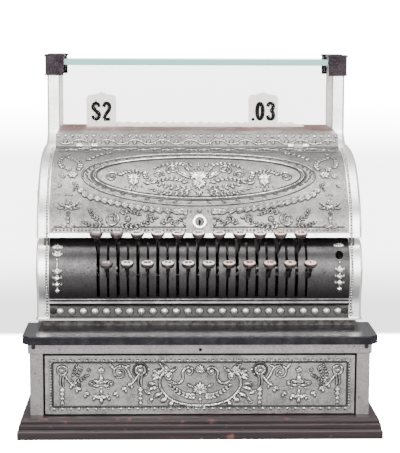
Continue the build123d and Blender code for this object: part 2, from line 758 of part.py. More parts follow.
def make_sill():
    foot_d, foot_h = RAIL_FOOT
    head_d, head_h = RAIL_HEAD
    run = math.hypot(head_d - foot_d, head_h - foot_h)
    n = ((head_h - foot_h) / run * RAIL_T, -(head_d - foot_d) / run * RAIL_T)
    points = [(head_d, head_h), (POST_FRONT + 3, SILL_UP), (HOUSING_BACK, SILL_UP)]
    points += [(HOUSING_BACK, SILL_UP - SILL_T), (POST_FRONT + 3, SILL_UP - SILL_T)]
    points.append((head_d + n[0], head_h + n[1]))
    sill = polygon_prism(up_points(points), -INNER, INNER)
    x0 = flag_plate_x(0) - FLAG_W / 2 - 3
    x1 = flag_plate_x(KEY_COUNT - 1) + FLAG_W / 2 + 3
    d1 = flag_depth(FLAG_LAYERS - 1)
    way = block(x0, x1, FLAG_FRONT - 4, d1 + 4, UP_Z + SILL_UP - 10, UP_Z + SILL_UP + 10)
    return sill - way


def make_corner_cap(x_side, depth_side):
    outer = HALF + CAP_OVERHANG
    inner = outer - CAP_W
    d0 = POST_FRONT - CAP_OVERHANG
    d1 = d0 + CAP_BLOCK_D
    low = UP_Z + CAP_LOW_UP
    high = UP_Z + CAP_TOP_UP
    cap = block(inner, outer, d0, d1, low, high - CORNICE_T)
    top = block(inner - CORNICE, outer + CORNICE, d0 - CORNICE, d1, high - CORNICE_T, high)
    top = fillet(top.edges().group_by(Axis.Z)[-1], 1.0)
    foot = block(inner, outer + 0.6, d0 - 0.6, d1, low, low + 2.2)
    cap = cap + top + foot
    hollow = block(inner - 9, HALF, POST_FRONT, d1 + 9, low - 1, UP_Z + WINDOW_TOP_UP)
    cap = cap - hollow
    glass = block(-INNER, inner_glass(), 0, PLINTH_D, UP_Z + WINDOW_TOP_UP, UP_Z + WINDOW_TOP_UP + TOP_GLASS_T)
    cap = cap - glass
    if depth_side > 0:
        middle = (POST_FRONT + HOUSING_BACK) / 2
        cap = mirror(cap, about=Plane.XZ.offset(-at_depth(middle)))
    if x_side < 0:
        cap = mirror(cap, about=Plane.YZ)
    return cap


def inner_glass():
    return HALF + CAP_OVERHANG - CAP_W - CORNICE


def make_corner_caps():
    return [make_corner_cap(x, d) for x in (-1, 1) for d in (-1, 1)]


def make_top_glass():
    half = inner_glass()
    low = UP_Z + WINDOW_TOP_UP
    glass = block(-half, half, POST_FRONT - 1.5, HOUSING_BACK + 1.5, low, low + TOP_GLASS_T)
    return fillet(glass.edges().filter_by(Axis.X), 0.8)


def make_pane(depth):
    low = UP_Z + SILL_UP
    return block(-INNER, INNER, depth, depth + GLASS_T, low, UP_Z + WINDOW_TOP_UP)


# flags

def make_flag(i, drop):
    x = flag_plate_x(i)
    rod_x0 = flag_x(i) - ROD_W / 2
    d = flag_depth(i)
    peak = UP_Z + FLAG_PEAK_UP - drop
    half = FLAG_W / 2
    y = at_depth(d) - FLAG_T / 2
    shoulder = peak - 4.6
    low = peak - FLAG_H
    # a lowered flag's rod is cut short, so its lever can swing under it
    rod_low = UP_Z + SHAFT_UP + tail_height(FLAG_FRONT) + 3.4 + ROD_CLEAR + FLAG_TRAVEL
    outline = [Line((x - half, y, low), (x - half, y, shoulder - 3))]
    outline.append(Line((x - half, y, shoulder - 3), (x - half + 3, y, shoulder)))
    outline.append(ThreePointArc((x - half + 3, y, shoulder), (x - 8, y, shoulder + 1.2), (x, y, peak)))
    outline.append(ThreePointArc((x, y, peak), (x + 8, y, shoulder + 1.2), (x + half - 3, y, shoulder)))
    outline.append(Line((x + half - 3, y, shoulder), (x + half, y, shoulder - 3)))
    outline.append(Line((x + half, y, shoulder - 3), (x + half, y, low)))
    outline.append(Line((x + half, y, low), (x - half, y, low)))
    plate = extrude(make_face(Curve() + outline), amount=FLAG_T, dir=(0, 1, 0))
    rod = block(rod_x0, rod_x0 + ROD_W, d - ROD_T / 2, d + ROD_T / 2, rod_low, low + 8)
    return plate + rod


def make_lowered_flags():
    return [make_flag(i, FLAG_TRAVEL) for i in range(KEY_COUNT) if i not in RAISED]


def build_all():
    save(make_plinth(), "plinth")
    save(make_case_wall(-1), "case_left_wall")
    save(make_case_wall(1), "case_right_wall")
    save(make_case_back(), "case_back_wall")
    save(make_case_rail(), "case_top_rail")
    save(make_deck(), "case_deck")
    save(make_runners(), "drawer_runners")
    save(make_case_screws(), "case_screws")
    save(make_drawer_front(), "drawer_front")
    save(make_drawer_screws(), "drawer_front_screws")
    save(make_tray(), "drawer_tray")
    save(make_coin_cups(), "drawer_coin_cups")
    save(make_shelf(), "stone_shelf")
    save(make_base_frame(), "upper_base_frame")
    save(make_base_strip(), "upper_base_strip")
    save(make_side(-1), "upper_left_side")
    save(make_side(1), "upper_right_side")
    save(make_back_cover(), "upper_back_cover")
    save(make_moulding(), "stud_moulding")
    save(make_studs(), "moulding_studs")
    save(make_key_plate(), "key_plate")
    save(make_key_shaft(), "key_shaft")
    save(make_mechanism_frame(), "mechanism_frame")
    save(make_stop_bars(), "key_stop_bars")
    for i in range(KEY_COUNT):
        row = "upper" if i % 2 == 0 else "lower"
        save(make_key(i), "key_" + row + "_" + str(i // 2 + 1))
    save(make_lid(), "lid")
    save(make_lid_strip(), "lid_bottom_strip")
    save(make_lock_ring(), "lock_ring")
    save(make_lock_plug(), "lock_plug")
    save(make_hinges(), "lid_hinges")
    save(make_hinge_rail(), "hinge_rail")
    save(make_sill(), "indicator_sill")
    save(make_corner_caps(), "indicator_corner_caps")
    save(make_top_glass(), "top_glass")
    save(make_pane(POST_FRONT + 3), "front_glass")
    save(make_pane(HOUSING_BACK - 4 - GLASS_T), "rear_glass")
    save(make_flag(RAISED[0], 0), "flag_raised_left")
    save(make_flag(RAISED[1], 0), "flag_raised_right")
    save(make_lowered_flags(), "flags_lowered")


build_all()
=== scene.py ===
import json
import math

import bpy
import numpy as np
from mathutils import Matrix, Vector


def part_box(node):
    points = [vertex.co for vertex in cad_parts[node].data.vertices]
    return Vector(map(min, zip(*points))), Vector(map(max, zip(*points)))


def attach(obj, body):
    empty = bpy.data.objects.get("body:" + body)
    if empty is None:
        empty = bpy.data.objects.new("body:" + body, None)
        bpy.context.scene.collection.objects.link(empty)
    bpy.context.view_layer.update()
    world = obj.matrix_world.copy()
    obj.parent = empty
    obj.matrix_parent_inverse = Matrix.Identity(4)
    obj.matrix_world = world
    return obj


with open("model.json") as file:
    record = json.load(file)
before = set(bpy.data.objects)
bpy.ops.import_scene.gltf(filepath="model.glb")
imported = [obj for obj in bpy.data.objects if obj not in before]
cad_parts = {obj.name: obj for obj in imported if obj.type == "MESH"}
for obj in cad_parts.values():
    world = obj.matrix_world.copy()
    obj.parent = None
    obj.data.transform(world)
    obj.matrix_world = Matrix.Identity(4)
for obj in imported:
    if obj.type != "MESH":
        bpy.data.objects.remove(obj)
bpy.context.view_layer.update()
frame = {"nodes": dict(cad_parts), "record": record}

MM = 0.001


# ---------------------------------------------------------------- finishes

class Value:
    """One value in a finish. Arithmetic on it adds the maths."""

    def __init__(self, finish, socket):
        self.finish = finish
        self.socket = socket

    def work(self, kind, other=0.0, turned=False):
        pair = {0: other, 1: self} if turned else {0: self, 1: other}
        return self.finish.node("Math", {"operation": kind}, pair)

    def __add__(self, other):
        return self.work("ADD", other)

    def __sub__(self, other):
        return self.work("SUBTRACT", other)

    def __mul__(self, other):
        return self.work("MULTIPLY", other)

    def __rsub__(self, other):
        return self.work("SUBTRACT", other, True)

    __radd__ = __add__
    __rmul__ = __mul__


class Finish:
    """A procedural finish for one kind of surface."""

    def __init__(self, name):
        self.material = bpy.data.materials.new(name)
        self.material.use_nodes = True
        self.tree = self.material.node_tree
        self.tree.nodes.clear()
        self.where = self.node("TexCoord", out=3)

    def node(self, kind, settings=None, values=None, out=0):
        made = self.tree.nodes.new("ShaderNode" + kind)
        for key, value in (settings or {}).items():
            setattr(made, key, value)
        for key, value in (values or {}).items():
            if isinstance(value, Value):
                self.tree.links.new(value.socket, made.inputs[key])
            else:
                made.inputs[key].default_value = value
        return Value(self, made.outputs[out])

    def noise(self, scale, detail=3.0, stretch=None, rough=0.55):
        place = self.where
        if stretch:
            place = self.node("Mapping", None, {"Vector": place, "Scale": stretch})
        values = {"Vector": place, "Scale": scale, "Detail": detail, "Roughness": rough}
        return self.node("TexNoise", None, values)

    def step(self, value, low, high, start=0.0, end=1.0):
        values = {"Value": value, "From Min": low, "From Max": high, "To Min": start, "To Max": end}
        return self.node("MapRange", {"interpolation_type": "SMOOTHSTEP"}, values)

    def axis(self, name):
        return self.node("SeparateXYZ", None, {0: self.where}, "XYZ".index(name))

    def raised(self):
        return self.node("Attribute", {"attribute_name": "height"}, None, 2)

    def mix(self, factor, a, b):
        a = a if isinstance(a, Value) else (*a, 1.0)
        b = b if isinstance(b, Value) else (*b, 1.0)
        return self.node("Mix", {"data_type": "RGBA"}, {0: factor, 6: a, 7: b}, 2)

    def bump(self, height, distance, strength=0.6):
        return self.node("Bump", None, {"Height": height, "Distance": distance, "Strength": strength})

    def surface(self, **values):
        named = {key.replace("_", " ").title().replace("Ior", "IOR"): value for key, value in values.items()}
        shader = self.node("BsdfPrincipled", None, named)
        self.node_output(shader)
        return self.material

    def node_output(self, shader):
        made = self.tree.nodes.new("ShaderNodeOutputMaterial")
        self.tree.links.new(shader.socket, made.inputs[0])


def nickel(name, bright, dull, stain, rough=0.3, grime=0.5, grain=0.0, pits=0.4):
    """Nickel plate: broad toning, fine tarnish, and random spots of grime."""
    f = Finish(name)
    broad = f.noise(14.0, 4.0)
    cloud = f.noise(90.0, 5.0)
    speck = f.noise(620.0, 4.0)
    tarnish = f.step(broad * 0.35 + cloud * 0.3 + speck * 0.5, 0.42, 0.74)
    colour = f.mix(tarnish, bright, dull)
    spots = f.step(f.noise(330.0, 4.0), 0.60, 0.74) * grime
    colour = f.mix(spots, colour, stain)
    brushed = f.noise(700.0, 2.0, (0.05, 1.0, 1.0))
    shine = rough + tarnish * 0.16 + spots * 0.2 + (brushed - 0.5) * grain
    normal = f.bump(speck * pits + brushed * grain, 0.0004)
    return f.surface(base_color=colour, metallic=1.0, roughness=shine, normal=normal)


def raised_nickel(name, bright, dull, recess_patina_and_shade, rough=0.2):
    """Cast ornament: bright on the high parts, from rubbing and a painted highlight, and dark where it meets the
    ground, from painted shade with some patina.
    """
    f = Finish(name)
    up = f.raised()
    cloud = f.noise(70.0, 3.0)
    mottle = f.noise(420.0, 3.0)
    speck = f.noise(1100.0, 2.0)
    top = f.mix(f.step(cloud * 0.3 + mottle * 0.75, 0.42, 0.66), bright, dull)
    # painted shade and highlight: the low flanks of the raised work go dark, the high parts bright
    high = f.step(up + (mottle - 0.5) * 0.3, 0.10, 0.78)
    colour = f.mix(high, recess_patina_and_shade, top)
    normal = f.bump(mottle * 0.8 + speck * 0.4, 0.0006)
    return f.surface(base_color=colour, metallic=1.0, roughness=0.5 - high * (0.5 - rough), normal=normal)


def dirt_and_painted_shade():
    """Painted shade, with some dark tarnish, on the ground beside raised work, fading outwards."""
    f = Finish("dirt_and_painted_shade")
    up = f.raised()
    speck = f.noise(500.0, 4.0)
    # painted shade: darkest at the foot of the raised work, fading out across the skirt
    dark = f.step(up + (speck - 0.5) * 0.5, 0.05, 0.75)
    colour = f.mix(dark, (0.15, 0.145, 0.14), (0.020, 0.017, 0.016))
    return f.surface(base_color=colour, metallic=1.0, roughness=0.42 + dark * 0.15,
                     normal=f.bump(speck, 0.0003))


def wood(name, dark, light, worn, rough=0.32, edge=0.0):
    f = Finish(name)
    grain = f.noise(26.0, 6.0, (0.35, 7.0, 9.0), 0.62)
    pores = f.noise(420.0, 3.0, (0.06, 1.0, 1.0))
    colour = f.mix(f.step(grain, 0.35, 0.72), dark, light)
    rub = f.step(f.noise(110.0, 5.0) * 0.6 + f.noise(22.0) * 0.5, 0.60, 0.74) * edge
    colour = f.mix(rub, colour, worn)
    normal = f.bump(grain * 0.6 + pores * 0.5, 0.0003)
    shine = rough + pores * 0.14 + rub * 0.15
    return f.surface(base_color=colour, roughness=shine, specular_ior_level=0.3, coat_weight=0.08,
                     coat_roughness=0.25, normal=normal)


def black_stone():
    f = Finish("polished_black_stone")
    cloud = f.noise(60.0, 6.0, None, 0.7)
    fleck = f.noise(700.0, 2.0)
    colour = f.mix(f.step(cloud, 0.4, 0.75), (0.008, 0.0075, 0.010), (0.026, 0.025, 0.030))
    colour = f.mix(f.step(fleck, 0.66, 0.76) * 0.5, colour, (0.16, 0.155, 0.17))
    normal = f.bump(fleck, 0.0001, 0.25)
    return f.surface(base_color=colour, roughness=0.16 + cloud * 0.1, specular_ior_level=0.2, normal=normal)


def worn_copper():
    """Nickel at the front of the sill, worn through to copper behind."""
    f = Finish("worn_copper_sill")
    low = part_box("indicator_sill")[0]
    wear = f.step(f.noise(30.0, 6.0) * 0.6 + f.noise(210.0, 4.0) * 0.5, 0.38, 0.66)
    copper = f.mix(wear, (0.52, 0.33, 0.29), (0.27, 0.14, 0.12))
    plate = f.mix(wear, (0.62, 0.60, 0.58), (0.36, 0.33, 0.32))
    back = f.step(f.axis("Y") + wear * 0.006, low.y + 0.036, low.y + 0.044)
    colour = f.mix(back, plate, copper)
    dirt_and_shade = f.step(f.noise(160.0, 5.0), 0.58, 0.72)
    colour = f.mix(dirt_and_shade * 0.7, colour, (0.06, 0.03, 0.03))
    return f.surface(base_color=colour, metallic=1.0, roughness=0.34 + wear * 0.2, normal=f.bump(dirt_and_shade, 0.0002))


def clear_glass():
    """Clear panes, with a green ground front edge on the top one."""
    f = Finish("clear_glass")
    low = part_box("top_glass")[0]
    edge = f.step(f.axis("Y"), low.y + 0.0006, low.y + 0.0012, 1.0, 0.0)
    smear = f.noise(12.0, 3.0)
    colour = f.mix(edge, f.mix(smear, (0.020, 0.024, 0.023), (0.014, 0.018, 0.017)), (0.16, 0.42, 0.37))
    return f.surface(base_color=colour, roughness=0.03 + smear * 0.05, ior=1.5,
                     alpha=0.015 + smear * 0.02 + edge)


def plain_steel(name, light, dark, rough=0.35, shine=0.2):
    f = Finish(name)
    cloud = f.noise(140.0, 5.0)
    fine = f.noise(1100.0, 2.0)
    colour = f.mix(f.step(cloud, 0.35, 0.7), light, dark)
    return f.surface(base_color=colour, metallic=1.0, roughness=rough + fine * shine,
                     normal=f.bump(fine, 0.0002, 0.4))


def key_steel(row):
    """Blued lever, and a browned cap at that row's height."""
    f = Finish("browned_" + row + "_key_steel")
    low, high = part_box("key_" + row + "_1")
    above = f.step(f.axis("Z"), high.z - 0.0086, high.z - 0.0078)
    ahead = f.step(f.axis("Y"), low.y + 0.0165, low.y + 0.0175, 1.0, 0.0)
    cap = above * ahead
    cloud = f.noise(190.0, 5.0)
    blued = f.mix(f.step(cloud, 0.4, 0.7), (0.022, 0.020, 0.021), (0.008, 0.007, 0.008))
    browned = f.mix(f.step(cloud, 0.38, 0.66), (0.16, 0.125, 0.12), (0.055, 0.04, 0.038))
    fine = f.noise(1300.0, 2.0)
    return f.surface(base_color=f.mix(cap, blued, browned), metallic=1.0, roughness=0.30 + cloud * 0.2,
                     normal=f.bump(fine, 0.0002, 0.4))


def lock_nickel():
    """Bright ring with a black groove round the plug."""
    f = Finish("lock_nickel")
    low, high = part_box("lock_ring")
    reach = f.node("VectorMath", {"operation": "DISTANCE"}, {0: f.where, 1: (low + high) / 2}, 1)
    groove = f.step(reach, 0.0062, 0.0066, 1.0, 0.0)
    cloud = f.noise(300.0, 4.0)
    bright = f.mix(f.step(cloud, 0.4, 0.7), (0.88, 0.86, 0.84), (0.66, 0.64, 0.62))
    return f.surface(base_color=f.mix(groove, bright, (0.012, 0.011, 0.011)), metallic=1.0,
                     roughness=0.2 + cloud * 0.12 + groove * 0.3, normal=f.bump(cloud, 0.0002, 0.3))


def celluloid(name, main, shade, rough=0.35, coat=0.35):
    f = Finish(name)
    cloud = f.noise(240.0, 4.0)
    speck = f.noise(1500.0, 2.0)
    colour = f.mix(f.step(cloud, 0.4, 0.75), main, shade)
    colour = f.mix(f.step(speck, 0.64, 0.75) * 0.4, colour, [c * 0.5 for c in shade])
    return f.surface(base_color=colour, roughness=rough + cloud * 0.15, coat_weight=coat, coat_roughness=0.15,
                     specular_ior_level=0.5 * min(1.0, coat + 0.2), normal=f.bump(speck, 0.0001, 0.3))


nickel_bright = nickel("bright_nickel", (0.80, 0.785, 0.76), (0.56, 0.54, 0.52), (0.20, 0.17, 0.16), 0.24, 0.25)
# near-white nickel on the side castings and the lid's bottom strip: painted highlight standing in for their
# reflection of the front light
painted_bright_side_nickel = nickel("painted_bright_satin_nickel", (0.97, 0.955, 0.94), (0.78, 0.76, 0.74), (0.34, 0.26, 0.24),
                     0.30, 0.6)
nickel_aged = nickel("aged_nickel", (0.66, 0.645, 0.625), (0.40, 0.385, 0.37), (0.14, 0.115, 0.11), 0.34, 0.5)
# dark ground under the raised work: patina, and painted shade that sets off the bright ornament
nickel_ground = nickel("ground_nickel", (0.36, 0.35, 0.34), (0.13, 0.125, 0.12), (0.04, 0.034, 0.03),
                       0.34, 0.7, pits=2.2)
nickel_smoked = nickel("smoked_key_plate", (0.095, 0.090, 0.091), (0.048, 0.044, 0.045),
                       (0.018, 0.015, 0.015), 0.36, 0.6, grain=0.14)
nickel_case = nickel("case_nickel", (0.36, 0.33, 0.335), (0.20, 0.18, 0.185), (0.07, 0.045, 0.045), 0.34, 0.7)
ornament = raised_nickel("ornament_nickel", (0.98, 0.965, 0.94), (0.46, 0.445, 0.425), (0.03, 0.026, 0.024))
# dark skirt round raised work: painted shade, with some patina
patina_and_painted_shade = dirt_and_painted_shade()
bead_nickel = raised_nickel("bead_nickel", (0.95, 0.93, 0.90), (0.62, 0.59, 0.56), (0.04, 0.034, 0.032), 0.16)

finishes = {
    "dark_wood": wood("dark_wood", (0.010, 0.005, 0.0065), (0.028, 0.014, 0.016), (0.12, 0.042, 0.038),
                      0.36, 1.0),
    "drawer_wood": wood("drawer_wood", (0.23, 0.12, 0.06), (0.42, 0.25, 0.13), (0.5, 0.33, 0.2), 0.5, 0.3),
    "aged_nickel": nickel_aged,
    "bright_nickel": nickel_bright,
    "dark_steel": plain_steel("dark_steel", (0.10, 0.095, 0.09), (0.035, 0.03, 0.03), 0.42),
    "bright_steel": plain_steel("bright_steel", (0.55, 0.54, 0.53), (0.36, 0.35, 0.34), 0.22),
    "key_steel": plain_steel("dark_key_steel", (0.05, 0.045, 0.045), (0.02, 0.018, 0.018)),
    "black_stone": black_stone(),
    "worn_copper": worn_copper(),
    "clear_glass": clear_glass(),
    "flag_enamel": celluloid("flag_enamel", (0.99, 0.98, 0.93), (0.94, 0.92, 0.85), 0.4, 0.1),
}
special = {
    "lid": nickel_ground,
    "key_plate": nickel_smoked,
    "drawer_front": nickel_ground,
    "case_top_rail": nickel_case,
    "case_left_wall": nickel_case,
    "case_right_wall": nickel_case,
    "hinge_rail": nickel_ground,
    "stud_moulding": nickel("moulding_nickel", (0.12, 0.115, 0.118), (0.06, 0.056, 0.058),
                            (0.03, 0.023, 0.021), 0.26, 0.5),
    "drawer_front_screws": finishes["dark_steel"],
    "case_screws": finishes["key_steel"],
    "indicator_corner_caps": nickel("bronzed_caps", (0.024, 0.019, 0.022), (0.008, 0.006, 0.007),
                                    (0.004, 0.003, 0.003), 0.2, 0.6, grain=0.1),
    "lock_ring": lock_nickel(),
    "lock_plug": plain_steel("worn_plug", (0.16, 0.15, 0.145), (0.07, 0.065, 0.06), 0.4),
    # near-white base colour: painted highlight spread over the domed studs, which are polished nickel
    "moulding_studs": nickel("polished_studs_painted_bright", (0.98, 0.97, 0.95), (0.90, 0.88, 0.86), (0.4, 0.36, 0.34),
                             0.42, 0.15),
    "upper_left_side": painted_bright_side_nickel,
    "upper_right_side": painted_bright_side_nickel,
    "lid_bottom_strip": painted_bright_side_nickel,
}
for row in ("upper", "lower"):
    steel = key_steel(row)
    for i in range(1, 12):
        special["key_" + row + "_" + str(i)] = steel
for part in frame["record"]["subparts"]:
    mesh = frame["nodes"][part["node"]].data
    mesh.materials.clear()
    mesh.materials.append(special.get(part["node"], finishes[part["material_slot"]]))


# ---------------------------------------------------------------- faces that ornament lies on

def touch(node, start, aim):
    """Where a line from start along aim first meets a CAD piece, and the surface's direction there."""
    found, point, normal, _ = frame["nodes"][node].ray_cast(Vector(start), Vector(aim).normalized())
    return (point, normal) if found else None


class FlatFace:
    """An upright face towards the operator. Ornament has u across and v up."""

    def __init__(self, y):
        self.y = y

    def place(self, u, v, h):
        return np.stack([u, self.y - h, v], 1)


class SideFace:
    """A flat face looking sideways, left or right."""

    def __init__(self, node, side, depth, height):
        self.side = side
        self.x = touch(node, (side * 1.0, depth, height), (-side, 0, 0))[0].x

    def place(self, u, v, h):
        return np.stack([np.full_like(u, self.x) + self.side * h, self.side * u, v], axis=1)


class BackFace:
    """A flat face looking backwards."""

    def __init__(self, node, x, height):
        self.y = touch(node, (x, 1.0, height), (0, -1, 0))[0].y

    def place(self, u, v, h):
        return np.stack([-u, self.y + h, v], axis=1)


class CurvedFace:
    """The outer line of a curved piece at one x. v runs along it from its foot."""

    def __init__(self, node, x, pivot, first, last, foot=0.0, count=90):
        line = []
        for i in range(count):
            turn = math.radians(first + (last - first) * i / (count - 1))
            out = Vector((0, -math.cos(turn), math.sin(turn)))
            hit = touch(node, Vector((x, *pivot)) + out * 0.5, -out)
            if hit:
                line.append((hit[0].y, hit[0].z))
        line = np.array(line)
        self.v = np.concatenate([[0], np.cumsum(np.hypot(*np.diff(line, axis=0).T))]) + foot * MM
        self.line = line
        run = np.gradient(line, self.v, axis=0)
        self.out = np.stack([-run[:, 1], run[:, 0]], 1) / np.hypot(*run.T)[:, None]

    def place(self, u, v, h):
        spot = [np.interp(v, self.v, self.line[:, i]) + h * np.interp(v, self.v, self.out[:, i])
                for i in (0, 1)]
        # past either end the face goes on straight
        over = np.clip(v - self.v[-1], 0, None) - np.clip(self.v[0] - v, 0, None)
        end = np.where(over > 0, len(self.v) - 1, 0)
        out = self.out[end]
        return np.stack([u, spot[0] + out[:, 1] * over, spot[1] - out[:, 0] * over], 1)


# ---------------------------------------------------------------- ornament

def smooth(points, per=4, closed=False):
    """A curve through points (x, y, half width), with more points on it."""
    p = np.array(points, float)
    ends = (p[-1:], p[:2]) if closed else (2 * p[:1] - p[1:2], 2 * p[-1:] - p[-2:-1])
    q = np.concatenate([ends[0], p, ends[1]])
    made = []
    for i in range(len(q) - 3):
        a, b, c, d = q[i:i + 4]
        for t in np.arange(per) / per:
            made.append(0.5 * (2 * b + (c - a) * t + (2 * a - 5 * b + 4 * c - d) * t ** 2
                               + (3 * b - a - 3 * c + d) * t ** 3))
    if not closed:
        made.append(p[-1])
    made = np.array(made)
    made[:, 2] = np.clip(made[:, 2], 0.08, None)
    return made


def turned(x, y, angle, along, aside):
    a = math.radians(angle)
    return x + along * math.cos(a) - aside * math.sin(a), y + along * math.sin(a) + aside * math.cos(a)


class Ornament:
    """Raised work drawn flat, in millimetres, as strokes that swell and taper."""

    def __init__(self):
        self.strokes = []

    def line(self, *points, closed=False, per=4):
        self.strokes.append((smooth(points, per, closed), closed))

    def bar(self, *points):
        self.strokes.append((np.array(points, float), False))

    def bead(self, x, y, r):
        turns = [math.radians(a) for a in (-80, -45, 0, 45, 80)]
        self.strokes.append((np.array([(x + r * math.sin(a), y, r * math.cos(a)) for a in turns]), False))

    def leaf(self, x, y, angle, length, width, bend=0.0):
        """A leaf from its foot: narrow, full, and pointed, bending to its left."""
        shape = [(0.0, 0.35), (0.3, 0.95), (0.55, 1.0), (0.82, 0.6), (1.0, 0.1)]
        self.line(*[(*turned(x, y, angle, length * t, bend * t * t), width * w * 1.3) for t, w in shape], per=2)

    def fan(self, x, y, angle, spread, count, length, width):
        for i in range(count):
            side = 2 * i / (count - 1) - 1
            size = 1 - 0.32 * abs(side)
            self.leaf(x, y, angle + spread / 2 * side, length * size, width * size, side * length * 0.16)

    def scroll(self, x, y, radius, start, turns, width, hand=1, eye=1.5):
        """A spiral from its outer end in to an eye."""
        steps = int(turns * 10) + 1
        points = []
        for i in range(steps + 1):
            t = i / steps
            a = math.radians(start) + hand * 2 * math.pi * turns * t
            r = radius * (1 - 0.72 * t)
            points.append((x + r * math.cos(a), y + r * math.sin(a), width * (1 - 0.45 * t)))
        self.line(*points, per=2)
        self.bead(x, y, width * eye)

    def flower(self, x, y, r, petals=6, turn=0.0):
        for i in range(petals):
            a = turn + 360 * i / petals
            self.leaf(*turned(x, y, a, r * 0.22, 0), a, r * 0.78, r * 0.24)
        self.bead(x, y, r * 0.26)

    def spray(self, points, leaf, width, stem=0.7, every=2):
        """A curved stem with a pair of leaves at steps along it, and one at its tip."""
        path = smooth([(x, y, stem) for x, y in points], 5)
        path[:, 2] = np.linspace(stem, stem * 0.5, len(path))
        self.strokes.append((path, False))
        for i in range(1, len(path) - 1, every):
            x, y, _ = path[i]
            dx, dy, _ = path[i + 1] - path[i - 1]
            a = math.degrees(math.atan2(dy, dx))
            size = 1 - 0.4 * i / len(path)
            self.leaf(x, y, a + 48, leaf * size, width * size, -leaf * 0.2)
            self.leaf(x, y, a - 48, leaf * size, width * size, leaf * 0.2)
        dx, dy, _ = path[-1] - path[-2]
        self.leaf(path[-1][0], path[-1][1], math.degrees(math.atan2(dy, dx)), leaf * 0.8, width * 0.8)

    def husks(self, x, y, step, count, size):
        """A hanging chain of husks that grow smaller."""
        for i in range(count):
            s = size * (1 - 0.09 * i)
            top = y - step * i
            self.leaf(x, top, -90, s * 1.5, s * 0.45)
            self.leaf(x, top, -50, s * 1.2, s * 0.36, -s * 0.3)
            self.leaf(x, top, -130, s * 1.2, s * 0.36, s * 0.3)
            self.bead(x, top + s * 0.1, s * 0.34)

    def swag(self, points, leaf, width, every=2):
        """A hanging garland of overlapping leaves."""
        path = smooth([(x, y, 0.6) for x, y in points], 4)
        for i in range(0, len(path) - 1, every):
            x, y, _ = path[i]
            dx, dy, _ = path[i + 1] - path[i]
            a = math.degrees(math.atan2(dy, dx))
            self.leaf(x, y, a, leaf, width)
            self.leaf(x, y, a + 34, leaf * 0.75, width * 0.7, -leaf * 0.15)
            self.leaf(x, y, a - 34, leaf * 0.75, width * 0.7, leaf * 0.15)

    def oval(self, x, y, a, b, width, count=96):
        turns = [2 * math.pi * i / count for i in range(count)]
        points = [(x + a * math.cos(t), y + b * math.sin(t), width) for t in turns]
        self.strokes.append((np.array(points), True))

    def beads_along(self, x0, y0, x1, y1, pitch, r):
        run = math.hypot(x1 - x0, y1 - y0)
        count = max(1, round(run / pitch))
        for i in range(count + 1):
            t = i / count
            self.bead(x0 + (x1 - x0) * t, y0 + (y1 - y0) * t, r)

    def mirrored(self):
        """The same again on the other side of the middle."""
        for points, closed in list(self.strokes):
            self.strokes.append((points * (-1, 1, 1), closed))

    def strip(self, name, face, swell, wider=0.0):
        """The strokes as half-round metal laid on a face."""
        curve = bpy.data.curves.new(name, "CURVE")
        curve.dimensions = "3D"
        curve.bevel_depth = MM
        curve.bevel_resolution = 2
        curve.use_fill_caps = True
        for points, closed in self.strokes:
            spline = curve.splines.new("POLY")
            spline.points.add(len(points) - 1)
            flat = np.zeros((len(points), 4))
            flat[:, :2] = points[:, :2] * MM
            flat[:, 3] = 1
            spline.points.foreach_set("co", flat.ravel())
            spline.points.foreach_set("radius", points[:, 2] + wider)
            spline.use_cyclic_u = closed
        piece = bpy.data.objects.new(name, curve)
        bpy.context.scene.collection.objects.link(piece)
        piece = as_mesh(piece)
        edit(piece)
        bpy.ops.mesh.bisect(plane_co=(0, 0, -0.00012), plane_no=(0, 0, 1), clear_inner=True)
        bpy.ops.object.mode_set(mode="OBJECT")
        mesh = piece.data
        co = np.zeros(len(mesh.vertices) * 3)
        mesh.vertices.foreach_get("co", co)
        co = co.reshape(-1, 3)
        mark = mesh.attributes.new("height", "FLOAT", "POINT")
        mark.data.foreach_set("value", np.clip(co[:, 2] / (1.5 * MM), 0, 1).astype(np.float32))
        mesh.vertices.foreach_set("co", face.place(co[:, 0], co[:, 1], co[:, 2] * swell).ravel())
        mesh.update()
        return piece

    def lay(self, name, face, body, finish, swell=1.25, slot="aged_nickel", dirt_and_shade=0.9):
        settle(self.strip(name, face, swell), body, finish)
        # painted shade, with some settled dirt, in a dark skirt round the ornament
        settle(self.strip(name + "_patina", face, 0.05, dirt_and_shade), body, patina_and_painted_shade)


def only(piece):
    bpy.ops.object.select_all(action="DESELECT")
    piece.select_set(True)
    bpy.context.view_layer.objects.active = piece


def edit(piece):
    only(piece)
    bpy.ops.object.mode_set(mode="EDIT")
    bpy.ops.mesh.select_all(action="SELECT")


def as_mesh(piece):
    only(piece)
    bpy.ops.object.convert(target="MESH")
    return bpy.context.view_layer.objects.active


def settle(piece, body, finish):
    """Smooth shading, a finish, and the body that the piece moves with."""
    piece.data.materials.clear()
    piece.data.materials.append(finish)
    only(piece)
    bpy.ops.object.shade_smooth_by_angle(angle=math.radians(50))
    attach(piece, body)
    return piece


def added(name):
    piece = bpy.context.view_layer.objects.active
    piece.name = name
    piece.data.name = name
    return piece


def lettering(name, text, height, place, body, finish, depth, bold, stretch):
    """Raised figures, centred on a place whose Z points off the surface."""
    bpy.ops.object.select_all(action="DESELECT")
    bpy.ops.object.text_add()
    piece = added(name)
    words = piece.data
    words.body = text
    words.align_x = "CENTER"
    words.align_y = "CENTER"
    words.size = height / 0.72 * MM
    words.extrude = depth * MM / 2
    words.offset = bold * MM
    words.resolution_u = 4
    piece = as_mesh(piece)
    piece.data.transform(place @ Matrix.Diagonal((stretch, 1, 1, 1)))
    piece.matrix_world = Matrix.Identity(4)
    return settle(piece, body, finish)


# ---------------------------------------------------------------- lid

